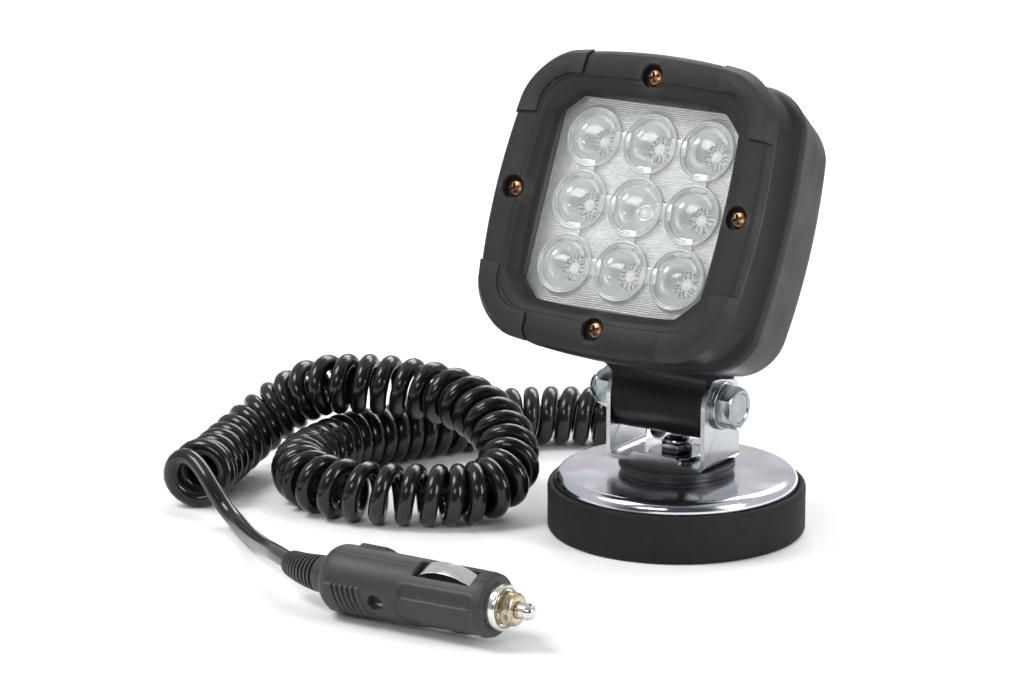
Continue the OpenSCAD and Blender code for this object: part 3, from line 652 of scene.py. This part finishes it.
def make_bracket():
    top = PIVOT_Z + EAR_R + 1
    bend = 3.0
    inner = bend - SHEET
    ear_in = EAR_OUT - SHEET
    outside = ([(-EAR_OUT, top)] + arc(-EAR_OUT + bend, PLATE_Z + bend, bend, 180, 270, 8)
               + arc(EAR_OUT - bend, PLATE_Z + bend, bend, 270, 360, 8) + [(EAR_OUT, top)])
    inside = ([(ear_in, top)] + arc(ear_in - inner, PLATE_Z + bend, inner, 0, -90, 6)
              + arc(-ear_in + inner, PLATE_Z + bend, inner, -90, -180, 6) + [(-ear_in, top)])
    strip = prism(outside + inside, -EAR_R - 1, EAR_R + 1)
    strip.transform(shift(x=EARS_AT) @ turn(90, "X"))
    ears = [(-EAR_R, PLATE_Z - 1), (EAR_R, PLATE_Z - 1)] + arc(0, PIVOT_Z, EAR_R, 0, 180, 48)
    profile = prism(ears, -30, 30)
    profile.transform(Matrix(((0, 0, 1, 0), (1, 0, 0, 0), (0, 1, 0, 0), (0, 0, 0, 1))))
    body = combine(strip, profile, "INTERSECT")
    tab_low, tab_high, left, right = PLATE_Z + 0.02, 27.0, -11.5, 7.6
    tab = ([(left, tab_low), (right, tab_low)] + arc(right - 2, tab_high - 2, 2, 0, 90, 6)
           + arc(left + 2.6, tab_high - 2.6, 2.6, 90, 180, 6))
    flap = prism(tab, EAR_R - SHEET, EAR_R)
    flap.transform(turn(90, "X"))
    body = combine(body, flap, "UNION")
    bore = lathe([(0, 20), (3.1, 20), (3.1, 30), (0, 30)], 48)
    body = combine(body, bore, "DIFFERENCE")
    cross = lathe([(0, -30), (4.1, -30), (4.1, 30), (0, 30)], 48)
    cross.transform(shift(z=PIVOT_Z) @ turn(90, "Y"))
    body = combine(body, cross, "DIFFERENCE")
    new_piece("u_bracket", bevelled(body, 0.28, 2, 40), "bracket", "zinc_sheet", ("bracket",), angle=30)


def make_pivot():
    out = EAR_OUT + 1.6
    on_right = shift(x=EARS_AT + out, z=PIVOT_Z) @ turn(90, "Y")
    on_left = shift(x=EARS_AT - out, z=PIVOT_Z) @ turn(-90, "Y")
    head = hexagon_solid(13, 5.3, 0)
    dish = lathe([(0, 4.95), (4.6, 4.95), (5.2, 5.5), (0, 5.5)], 64)
    head = combine(head, dish, "DIFFERENCE")
    face = lathe([(0, -0.01), (5.9, -0.01), (5.9, 0.4), (0, 0.4)], 64)
    shank = lathe([(0, -out), (3.95, -out), (3.95, 0.5), (0, 0.5)], 48)
    rod = thread(3.95, 1.25, out - 1, out + 10.2)
    rod.transform(turn(180, "X") @ shift(z=out))
    new_piece("pivot_screw", joined([head, face, shank, rod]), "bracket", "zinc_steel", ("pivot_bolt",),
              on_right)
    ring = washer(4.15, 8, 1.6)
    new_piece("pivot_flat_washers", copies(ring, [on_right @ shift(z=-1.6), on_left @ shift(z=-1.6)]),
              "bracket", "zinc_steel", ("pivot_washers",))
    new_piece("pivot_lock_nut", lock_nut(13, 8, 4.0, 0.76), "bracket", "zinc_steel", ("pivot_nut",), on_left)
    new_piece("pivot_nylon_ring", nylon_ring(3.7, 4.6, 6.2, 7.4), "bracket", "nylon",
              ("pivot_nut_insert",), on_left)


# ---------- lamp head ----------

TILT = -24.75
HEAD_DEPTH = 52.0
PIVOT_DEPTH = 62.3
FACE_RISE = 50.9
# The lamp's own frame: X across, Y the depth behind the face, Z up from the face's centre
LAMP = shift(z=PIVOT_Z) @ turn(TILT, "X") @ shift(y=-PIVOT_DEPTH, z=FACE_RISE)
OPTICS = LAMP @ shift(x=-0.7, z=0.4)   # the optics sit a little off the lamp's middle
BOSS_R = 11.8                     # the barrel round the pivot
BOSS_HALF = 17.0
SCREW_AT = 41.6
LENS_DEPTH = 6.8
PLATE_DEPTH = 10.4
LED_PITCH = 21.0
GLAND_RISE = -29.0


def square_ring(depth, half, radius, crown=0.0, round_part=1.0):
    """One ring of a square with full sides. round_part 0 makes its corners straight chamfers."""
    side, bend = 10, 12
    quarter = [(half, (half - radius) * k / side) for k in range(side)]
    for k in range(bend + 1):
        a = math.pi / 2 * k / bend
        bent = Vector((half - radius + radius * math.cos(a), half - radius + radius * math.sin(a)))
        straight = Vector((half, half - radius)).lerp(Vector((half - radius, half)), k / bend)
        quarter.append(tuple(straight.lerp(bent, round_part)))
    quarter += [((half - radius) * (1 - k / side), half) for k in range(1, side)]
    ring = []
    for q in range(4):
        for x, z in quarter:
            grow_x = crown * x / half * max(1 - (z / half) ** 2, 0)
            grow_z = crown * z / half * max(1 - (x / half) ** 2, 0)
            x1, z1 = x + grow_x, z + grow_z
            for _ in range(q):
                x1, z1 = -z1, x1
            ring.append(Vector((x1, depth, z1)))
    return ring


def pad_strip(half, radius, depth, start, crown):
    """A path round one corner of the face, from one side to the next."""
    side, bend = 6, 12
    path = [(half, start + (half - radius - start) * k / side) for k in range(side)]
    path += arc(half - radius, half - radius, radius, 0, 90, bend)
    path += [(start + (half - radius - start) * (1 - k / side), half) for k in range(1, side + 1)]
    made = []
    for x, z in path:
        grow_x = crown * x / half * max(1 - (z / half) ** 2, 0)
        grow_z = crown * z / half * max(1 - (x / half) ** 2, 0)
        made.append(Vector((x + grow_x, depth, z + grow_z)))
    return made


def corner_pad():
    levels = [(38.4, 9, 0.6, 26.0, 1.8), (38.3, 9, -0.5, 25.6, 1.8), (38.5, 9, -0.85, 25.4, 1.8),
              (39.0, 9, -1.0, 25.2, 1.8), (42.6, 13.2, -1.0, 24.9, 4.3), (43.3, 13.8, -0.85, 24.9, 4.5),
              (45.0, 14.6, 2.2, 24.6, 4.7), (45.15, 14.6, 2.9, 24.6, 4.7), (44.3, 14.4, 3.1, 24.8, 4.7),
              (42.4, 13.2, 0.6, 25.4, 4.3)]
    strips = [pad_strip(*level) for level in levels]
    rings = [list(ring) for ring in zip(*strips)]
    return bevelled(loft(rings), 0.15, 1, 50)


def make_bezel():
    rings = [(4.0, 44.3, 14.2, 4.7, 1), (2.9, 44.6, 14.4, 4.7, 1), (2.3, 44.4, 14.3, 4.7, 1),
             (0.4, 43.1, 13.6, 4.5, 1), (0.1, 42.7, 13.4, 4.5, 1), (0.0, 42.2, 13.2, 4.5, 1),
             (0.0, 38.3, 11.0, 1.8, 1), (0.12, 38.0, 10.8, 1.8, 1), (0.6, 37.7, 10.6, 1.8, 1),
             (0.75, 37.4, 10.4, 1.8, 0.9), (0.8, 36.4, 9.4, 1.8, 0.75), (1.0, 36.0, 9.0, 1.8, 0.6),
             (3.0, 33.6, 7.0, 1.8, 0.2), (3.4, 33.4, 6.8, 1.8, 0.12), (4.0, 33.3, 6.7, 1.8, 0.1),
             (6.8, 33.2, 6.6, 1.8, 0.1), (6.8, 38.0, 6.0, 0, 1), (4.0, 38.0, 6.0, 0, 1)]
    face = loft([square_ring(*ring) for ring in rings], closed=True)
    quarters = [turn(90 * k, "Y") for k in range(4)]
    face = combine(face, copies(corner_pad(), quarters), "UNION")
    well = lathe([(0, -2), (4.1, -2), (3.95, 0.05), (3.8, 0.25), (3.8, 3.0), (0, 3.0)], 64)
    well.transform(shift(z=SCREW_AT) @ turn(-90, "X"))
    face = combine(face, copies(well, quarters), "DIFFERENCE")
    new_piece("face_frame", face, "head", "bezel_black", ("bezel",), LAMP, angle=28)


def pan_head(radius, height, shank, length):
    """A pan-head screw about Z with a cross recess, its head's top at 0 and pointing up."""
    dome = [(0, 0.0), (radius * 0.45, -0.06), (radius * 0.75, -0.25), (radius * 0.93, -0.55),
            (radius, -1.0), (radius * 0.98, -height), (shank, -height), (shank, -length), (0, -length)]
    head = lathe(dome, 56)
    for spin in (22, 112):
        bar = prism([(-radius * 0.62, -0.42), (radius * 0.62, -0.42), (radius * 0.62, 0.42),
                            (-radius * 0.62, 0.42)], -1.1, 0.5)
        bar.transform(turn(spin, "Z"))
        head = combine(head, bar, "DIFFERENCE")
    return bevelled(head, 0.08, 1, 50)


def make_bezel_screws():
    screw = pan_head(2.75, 1.5, 1.5, 12)
    screw.transform(shift(y=1.5, z=SCREW_AT) @ turn(90, "X"))
    spots = [turn(90 * k, "Y") for k in range(4)]
    new_piece("face_screws", copies(screw, spots), "head", "bronze_screw", ("bezel_screws",), LAMP)


def make_housing():
    wall = 2.4
    outer = [(4.0, 43.6, 14.0), (4.4, 43.9, 14.2), (17.4, 43.9, 13.8), (18.2, 44.2, 13.2), (19.6, 44.9, 12.6),
             (20.4, 45.0, 12.4), (23.4, 45.0, 12), (24.4, 44.9, 12), (25.6, 44.6, 11.8), (45.5, 41.3, 11),
             (47.5, 40.8, 11), (49.4, 39.9, 11), (50.8, 38.6, 10.8), (51.7, 36.8, 10.5), (52.0, 34.6, 10)]
    inner = [(d if i < len(outer) - 5 else d - wall, half - wall, radius - wall + 0.4)
             for i, (d, half, radius) in enumerate(outer)]
    crown = 3.4
    rings = [square_ring(min(d, HEAD_DEPTH - wall), half, radius, crown)
             for d, half, radius in reversed(inner)]
    rings += [square_ring(d, half, radius, crown) for d, half, radius in outer]
    shell = loft(rings)
    shell = combine(shell, stalk(), "UNION")
    hole = lathe([(0, -8), (4.5, -8), (4.5, 1), (0, 1)], 40)
    hole.transform(shift(y=HEAD_DEPTH, z=GLAND_RISE) @ turn(-90, "X"))
    shell = combine(shell, hole, "DIFFERENCE")
    pin = lathe([(0, -20), (6, -20), (6, 20), (0, 20)], 48)
    pin.transform(shift(y=PIVOT_DEPTH, z=-FACE_RISE) @ turn(90, "Y"))
    shell = combine(shell, pin, "DIFFERENCE")
    new_piece("lamp_body", shell, "head", "housing_black", ("housing",), LAMP, angle=30)


def stalk():
    """The neck under the lamp: a barrel round the pivot whose front flares into the housing above."""
    low, flare_top, high = -FACE_RISE, -43.4, -38.6
    ears_front = PIVOT_DEPTH - EAR_R - 0.3
    rows = 18
    rings = []
    for i in range(rows + 1):
        z = low + (high - low) * i / rows
        up = max(min((z - low - 1.6) / (flare_top - low - 1.6), 1), 0)
        flare = 1 - math.sqrt(max(1 - up * up, 0))
        front = PIVOT_DEPTH - BOSS_R - 10 * flare
        back = PIVOT_DEPTH + BOSS_R - 24.6 * math.sin(math.pi / 2 * (z - low) / (high - low)) ** 1.1
        wide = BOSS_HALF + 0.2 + 11 * flare
        waist = max(min(ears_front, back - 1.5), front + 0.3)
        right = [(wide, front), (wide, waist), (BOSS_HALF, waist + 0.8), (BOSS_HALF, back)]
        outline = softened([(-x, d) for x, d in reversed(right)] + right, 0.25 + 3 * flare, 5, closed=True)
        rings.append([Vector((x, d, z)) for x, d in outline])
    neck = loft(rings)
    edge = 0.7
    barrel = [(0, -BOSS_HALF), (BOSS_R - edge, -BOSS_HALF), (BOSS_R, -BOSS_HALF + edge),
              (BOSS_R, BOSS_HALF - edge), (BOSS_R - edge, BOSS_HALF), (0, BOSS_HALF)]
    boss = lathe(softened(barrel, 0.4), 96)
    boss.transform(shift(y=PIVOT_DEPTH, z=-FACE_RISE) @ turn(90, "Y"))
    both = combine(neck, boss, "UNION")
    both.transform(shift(x=EARS_AT))
    return both


def each_led():
    return [shift(x=x * LED_PITCH, z=z * LED_PITCH) for x in (-1, 0, 1) for z in (-1, 0, 1)]


def ribbed_plate():
    """The optic's front plate with fine level ribs, open where the nine cups stand."""
    half, rib, back = 34.2, 0.7, PLATE_DEPTH + 1.2
    count = int(2 * half / rib)
    outline = [(back, -half)]
    for i in range(count):
        z = -half + 2 * half * i / count
        outline += [(PLATE_DEPTH + 0.22, z), (PLATE_DEPTH, z + rib * 0.5)]
    outline += [(PLATE_DEPTH + 0.22, half), (back, half)]
    rings = [[Vector((x, d, z)) for d, z in outline] for x in (-half, half)]
    plate = loft(rings)
    well = lathe([(0, 0), (9.7, 0), (9.7, 20), (0, 20)], 72)
    well.transform(turn(-90, "X"))
    return combine(plate, copies(well, each_led()), "DIFFERENCE")


def make_optics():
    """Everything behind the lens: ribbed plate, nine cups with domes, dimples and emitters."""
    into = turn(-90, "X")
    rim = [(9.75, 11.6), (10.0, 11.4), (10.0, 9.5), (9.75, 9.25), (9.45, 9.25), (9.25, 9.5), (9.2, 9.95),
           (8.95, 10.0), (8.8, 9.7), (8.6, 9.7), (8.45, 10.1), (8.35, 11.2)]
    rim += [(8.5, 12.4), (9.75, 12.4)]
    collar = lathe(softened(rim, 0.12, 2, closed=True), 88, closed=True)
    bowl = [(8.5, 10.6)]
    bowl += [(8.45 - 4.0 * (k / 10) ** 1.5, 10.6 + 6.2 * (k / 10) ** 0.8) for k in range(1, 11)]
    bowl += [(4.2, 17.0), (1.7, 17.1), (0, 17.1), (0, 18.2), (4.8, 18.2), (8.9, 11.4), (8.9, 10.6)]
    bridges = []
    for x, z in [(-0.5, -1), (0.5, -1), (-0.5, 0), (0.5, 0), (-0.5, 1), (0.5, 1)]:
        bridges.append((shift(x=x * LED_PITCH, z=z * LED_PITCH), 0))
        bridges.append((shift(x=z * LED_PITCH, z=x * LED_PITCH), 90))
    flat = [(-3.0, -2.7), (3.0, -2.7), (3.0, 2.7), (-3.0, 2.7)]
    bar = prism(softened(flat, 0.5, closed=True), 9.75, 11.4)
    bar.transform(into)
    spans = copies(bevelled(bar, 0.2, 2, 40), [place @ turn(spin, "Y") for place, spin in bridges])
    collar.transform(into)
    parts = [copies(collar, each_led()), spans, ribbed_plate()]
    new_piece("optic_frame", joined(parts), "head", "clear_optic", ("optic_array",), OPTICS)
    cup = lathe(bowl, 72)
    cup.transform(into)
    new_piece("optic_cups", copies(cup, each_led()), "head", "clear_optic", (), OPTICS, paint="reflector")
    make_dimples(into)
    cap = [(0, 9.2), (3, 9.32), (5.5, 9.6), (7.4, 10.0), (8.3, 10.35), (8.3, 10.55), (0, 9.9)]
    dome = lathe(cap, 64)
    dome.transform(into)
    new_piece("optic_domes", copies(dome, each_led()), "head", "clear_optic", (), OPTICS, paint="optic_dome")
    emitter = [(1.7, 17.3), (1.7, 16.6), (1.45, 16.3), (1.25, 16.3), (1.2, 16.6), (0.9, 16.2), (0.5, 15.95),
               (0, 15.9)]
    emitter = lathe(emitter, 32)
    emitter.transform(into)
    new_piece("led_emitters", copies(emitter, each_led()), "head", "led_phosphor", ("led_packages",), OPTICS)


def make_dimples(into):
    """Rings of small dimples round the emitters, all but the middle one."""
    random.seed(9)
    dots = []
    for place in each_led():
        if place.translation.length < 1:
            continue
        for radius, count in ((2.5, 10), (3.3, 14), (4.0, 18)):
            for k in range(count):
                a = 2 * math.pi * (k + 0.5 * random.random()) / count
                spot = place @ shift(x=radius * math.cos(a), y=16.75, z=radius * math.sin(a))
                dots.append((spot, 0.22 + 0.14 * random.random()))
    bead = lathe([(0, -0.7), (0.7, -0.5), (1, 0), (1, 1.0), (0, 1.0)], 10)
    bead.transform(into)
    spots = [spot @ Matrix.Diagonal((s, s, s, 1)) for spot, s in dots]
    new_piece("optic_dimples", copies(bead, spots), "head", "clear_optic", (), OPTICS, paint="dimple_grey")
    swirl = lathe(softened([(1.9, 16.6), (2.5, 16.2), (3.0, 16.6), (3.0, 17), (1.9, 17)], 0.2,
                                    closed=True), 40, closed=True)
    swirl.transform(into)
    new_piece("centre_ring", swirl, "head", "clear_optic", (), OPTICS, paint="reflector")


def make_lens():
    rings = [square_ring(LENS_DEPTH + 0.03, 38.2, 6), square_ring(LENS_DEPTH + 1.95, 38.2, 6)]
    new_piece("front_lens", loft(rings), "head", "clear_lens", ("cover_lens",), LAMP)


def make_rear():
    """Cord gland and breather on the back of the housing."""
    back = shift(y=HEAD_DEPTH, z=GLAND_RISE) @ turn(-90, "X")
    body = hexagon_solid(14, 3, 3.0)
    neck = lathe([(3.0, -4), (4.4, -4), (4.4, 0.1), (3.0, 0.1)], 40, closed=True)
    new_piece("gland_body", joined([body, neck]), "head", "gland_black", ("cable_gland",), LAMP @ back)
    sides = 120
    rings = []
    for h, r, rib in ((3.1, 6.0, 0), (3.5, 6.4, 0), (4.0, 6.4, 1), (8.6, 6.4, 1), (9.2, 6.2, 0),
                      (10.6, 5.2, 0), (11.6, 4.4, 0), (12.0, 4.0, 0), (12.0, 2.95, 0), (3.1, 2.95, 0)):
        ring = []
        for k in range(sides):
            wave = 0.15 * rib * (1 if k % 10 < 6 else -1)
            ring.append(on_circle(r + wave, k, sides, h))
        rings.append(ring)
    new_piece("gland_cap", loft(rings, closed=True), "head", "gland_black", ("gland_nut",),
              LAMP @ back)
    vent = [(0, -2), (3, -2), (3, 0), (5.5, 0), (5.5, 1.2), (4.9, 1.6), (2.2, 1.6), (2.0, 1.1), (0, 1.1)]
    vent = lathe(softened(vent, 0.25), 60)
    new_piece("vent_plug", vent, "head", "gland_black", ("breather_vent",),
              LAMP @ shift(x=22, y=HEAD_DEPTH, z=18) @ turn(-90, "X"))


# ---------- plug ----------

PLUG_AT = (-43, -133, 11)
PLUG_FREE = shift(*PLUG_AT) @ turn(-0.5, "Z") @ turn(-1.5, "Y")
PLUG = PLUG_FREE @ turn(24, "X")  # X along the plug from the back of its body, Z through the top leaf
PLUG_LEN = 61.5
GRIP_R = 10.7
BARREL_R = 10.05
LEAF_AT = (35.5, 56.0)
LEAF_W = 5.4
CLAMP_AT = 23.3
RELIEF_LEN = 20.0
RELIEF_TURN = 28.0


def step(x, edge, width):
    """0 before the edge, 1 after it, with a smooth rise of this width."""
    t = min(max((x - edge) / width + 0.5, 0), 1)
    return t * t * (3 - 2 * t)


def window(x, low, high, width):
    return step(x, low, width) * (1 - step(x, high, width))


def barrel_radius(u):
    """The plug body's plain radius at a distance from its back."""
    dome, nose = 5.5, 2.5
    if u < dome:
        return 6.4 + (GRIP_R - 6.4) * math.sqrt(max(1 - ((dome - u) / dome) ** 2, 0))
    if u > PLUG_LEN - nose:
        return BARREL_R - 0.55 * (u - PLUG_LEN + nose) / nose - 0.35 * step(u, PLUG_LEN - 0.3, 0.6)
    return GRIP_R + (BARREL_R - GRIP_R) * (u - dome) / (PLUG_LEN - nose - dome)


def groove(x, at, half):
    return max(1 - abs(x - at) / half, 0)


def near_relief(u, angle, r):
    """Height of the near half's details over the plain barrel. The angle is from level, in degrees."""
    arc_mm = r * math.radians(angle)
    height = 0.0
    mid = r * math.radians(14)
    off = math.hypot(max(33.4 - u, 0, u - 56.6), arc_mm - mid)
    height -= 0.95 * (1 - step(off, 1.8, 1.2))
    height += 0.30 * groove(off, 2.7, 0.7) * step(arc_mm, mid, 1.5)
    edge = 30.6 + 3.2 * ((angle + 14) / 46) ** 2
    height -= 0.38 * step(u, edge, 0.7) * (1 - step(arc_mm, mid - 1.5, 1.5)) * (1 - step(u, PLUG_LEN - 3, 1))
    top = r * math.radians(8)
    slanted = u - 0.25 * (top - arc_mm)
    pad = window(slanted, 2.2, 17.4, 0.7) * window(arc_mm, r * math.radians(-47), top, 0.8)
    cuts = max(groove(slanted, 7.6 + 1.95 * k, 0.5) for k in range(5))
    height += pad * (0.65 - 1.15 * cuts)
    x, y = u - CLAMP_AT, arc_mm - r * math.radians(-14)
    hexagon = max(abs(y), abs(y) * 0.5 + abs(x) * 0.866)
    height -= 2.6 * (1 - step(hexagon, 2.45, 0.35))
    return height


def far_relief(u, angle, r):
    """Height of the far half's details: a pad with teeth and the screw's round well."""
    arc_mm = r * math.radians(angle)
    pad = window(u, 9.5, 19.5, 1.2) * window(arc_mm, r * math.radians(98), r * math.radians(150), 1.6)
    cuts = max(groove(u, 13.0 + 1.9 * k, 0.6) for k in range(4))
    well = math.hypot(u - CLAMP_AT, arc_mm - r * math.radians(166))
    return pad * (1.1 - 0.7 * cuts) - 2.4 * (1 - step(well, 3.1, 0.35))


def plug_shell(side):
    """One half of the plug's body, with side 1 for the near half. Its details are in its surface."""
    across = 110
    gap = 0.25
    rows = 220
    rings = []
    for i in range(rows + 1):
        u = PLUG_LEN * i / rows
        r = barrel_radius(u)
        ring = []
        for k in range(across + 1):
            spread = -90 + gap + (180 - 2 * gap) * k / across
            from_seam = r * math.radians(90 - abs(spread))
            angle = spread - 24 if side > 0 else 156 - spread
            height = near_relief(u, angle, r) if side > 0 else far_relief(u, angle, r)
            height -= 0.28 * max(1 - from_seam / 0.35, 0)
            slot = window(u, LEAF_AT[0] - 0.3, LEAF_AT[1] + 0.3, 0.4)
            slot *= 3.9 * (1 - step(from_seam, LEAF_W / 2 + 0.5, 0.3))
            a = math.radians(spread)
            ring.append(Vector((u, -side * (r + height) * math.cos(a),
                                (r + height) * math.sin(a) - math.copysign(slot, spread))))
        rings.append(ring)
    return loft(rings)


def leaf_strip(side):
    """A bowed contact strip with rounded edges and turned-in feet."""
    length = LEAF_AT[1] - LEAF_AT[0] - 1
    mid = (LEAF_AT[0] + LEAF_AT[1]) / 2
    crest, rise, thick = BARREL_R + 1.95, 3.3, 0.45
    half = LEAF_W / 2
    rings = []
    steps = 28
    for i in range(steps + 1):
        t = 2 * i / steps - 1
        top = crest - rise * (0.75 * t * t + 0.25 * t ** 4)
        u = mid + t * length / 2
        section = [(-half, top - thick), (half, top - thick), (half, top), (-half, top)]
        section = softened(section, 0.15, 2, closed=True)
        rings.append([Vector((u, y, side * z)) for y, z in section])
    return loft(rings)


def make_plug():
    """The lighter plug. Its pieces are returned, because they are on the cord."""
    along = PLUG @ turn(90, "Y")
    cap = [(4.0, 61.3), (7.0, 61.3), (7.2, 61.6), (7.2, 64.4), (7.0, 64.9), (6.6, 65.0), (6.2, 64.8),
           (6.0, 64.3), (5.4, 64.1), (4.0, 64.1)]
    cap = lathe(softened(cap, 0.12, 2, closed=True), 96, closed=True)
    pin = [(0, 58.4), (3.7, 58.4), (3.7, 59.7), (2.5, 59.8), (2.5, 72.2), (2.6, 72.3), (2.6, 72.8),
           (2.4, 73.0), (2.15, 74.0), (1.5, 74.7), (0.7, 74.9), (0, 74.9)]
    pin = lathe(softened(pin, 0.15, 2), 48)
    lean = PLUG @ shift(x=CLAMP_AT) @ turn(-80, "X")
    head = lathe(softened([(0, 6.9), (1.4, 6.9), (2.8, 7.2), (2.8, 8.5), (0, 8.5)], 0.3), 40)
    screw = joined([thread(1.5, 0.5, -8.6, 7.0), head])
    nut = hexagon_solid(4.6, 1.4, 1.45)
    rows = [
        ("plug_body_near", plug_shell(1), "bracket", "plug_black", "plug_shell_near", PLUG, 50),
        ("plug_body_far", plug_shell(-1), "bracket", "plug_black", "plug_shell_far", PLUG, 50),
        ("top_leaf", leaf_strip(1), "plug_leaf_top", "plug_nickel", "leaf_contact_top", PLUG, 35),
        ("bottom_leaf", leaf_strip(-1), "plug_leaf_bottom", "plug_nickel", "leaf_contact_bottom", PLUG, 35),
        ("nose_cap", cap, "bracket", "plug_nickel", "plug_cap", along, 35),
        ("tip_collar", knurled_collar(), "bracket", "collar_nickel", "plug_tip_collar", along, 35),
        ("centre_pin", pin, "plug_tip", "plug_nickel", "tip_contact", along, 35),
        ("clamp_screw", screw, "bracket", "plain_steel", "plug_screw", lean, 35),
        ("clamp_nut", nut, "bracket", "plain_steel", "plug_nut", lean @ shift(z=-8.6), 35),
        ("ribbed_relief", ribbed_relief(), "bracket", "relief_black", "plug_strain_relief", PLUG_FREE, 35),
    ]
    made = [new_piece(name, mesh, body, slot, (stands_for,), place, angle)
            for name, mesh, body, slot, stands_for, place, angle in rows]
    return made + [contact_spring(), "fuse"]


def contact_spring():
    """The spring between the clamp screw and the fuse, built in one fixed shape. The real one shortens as the
    pin goes in.
    """
    low, high = CLAMP_AT + 2.4, 32.8
    turns, steps, radius, wire = 5, 24, 2.8, 0.35
    line = []
    for i in range(turns * steps + 1):
        a = 2 * math.pi * i / steps
        x = low + (high - low) * i / (turns * steps)
        line.append(Vector((x, radius * math.cos(a), radius * math.sin(a))))
    coil = loft(tube_rings(line, wire, 10))
    piece = new_piece("contact_spring", coil, None, "plain_steel", ("tip_spring",), PLUG)
    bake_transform(piece)
    return piece


def knurled_collar():
    sides = 144
    rings = []
    for h, r, knurl in ((64.2, 5.0, 0), (64.6, 5.1, 0), (64.7, 5.1, 1), (68.4, 5.1, 1), (68.6, 5.05, 0),
                        (68.9, 4.8, 0), (69.1, 4.4, 0), (69.1, 2.7, 0), (64.2, 2.7, 0)):
        rings.append([on_circle(r - 0.22 * knurl * (k % 2), k, sides, h) for k in range(sides)])
    return loft(rings, closed=True)


def ribbed_relief():
    """The strain relief: a smooth neck, then ridges that shrink along its bend."""
    ridge_pitch = 1.62
    bend_r = RELIEF_LEN / math.radians(RELIEF_TURN)
    rows = 150
    sides = 40
    rings = []
    for i in range(rows + 1):
        s = RELIEF_LEN * i / rows
        if s < 4.2:
            r = 6.4 - 0.15 * s
        else:
            wave = ((s - 4.2) / ridge_pitch) % 1
            base = 5.9 - 1.75 * (s - 4.2) / (RELIEF_LEN - 4.2)
            r = base - (0.95 if wave < 0.42 else 0.0)
        r -= 0.3 * step(s, RELIEF_LEN - 0.3, 0.8)
        phi = s / bend_r
        middle = Vector((-bend_r * math.sin(phi), bend_r - bend_r * math.cos(phi), 0))
        out = Vector((math.sin(phi), math.cos(phi), 0))
        rings.append([middle + r * (math.cos(2 * math.pi * k / sides) * out
                                    + math.sin(2 * math.pi * k / sides) * Vector((0, 0, 1)))
                      for k in range(sides)])
    return loft(rings)


# ---------- the CAD pieces that keep their own shape ----------

def paint_cad_nodes():
    slots = {part["node"]: part["material_slot"] for part in frame["record"]["subparts"]}
    for name, piece in frame["nodes"].items():
        slot = slots.get(name)
        paint = PAINTS.get(slot, PAINTS["plain_steel"])
        for spot in piece.material_slots:
            spot.material = paint


PAINTS = make_materials()
make_camera()
make_studio()
make_cord(make_plug())
make_base()
make_base_fixings()
make_bracket()
make_pivot()
make_bezel()
make_bezel_screws()
make_housing()
make_lens()
make_optics()
make_rear()
paint_cad_nodes()
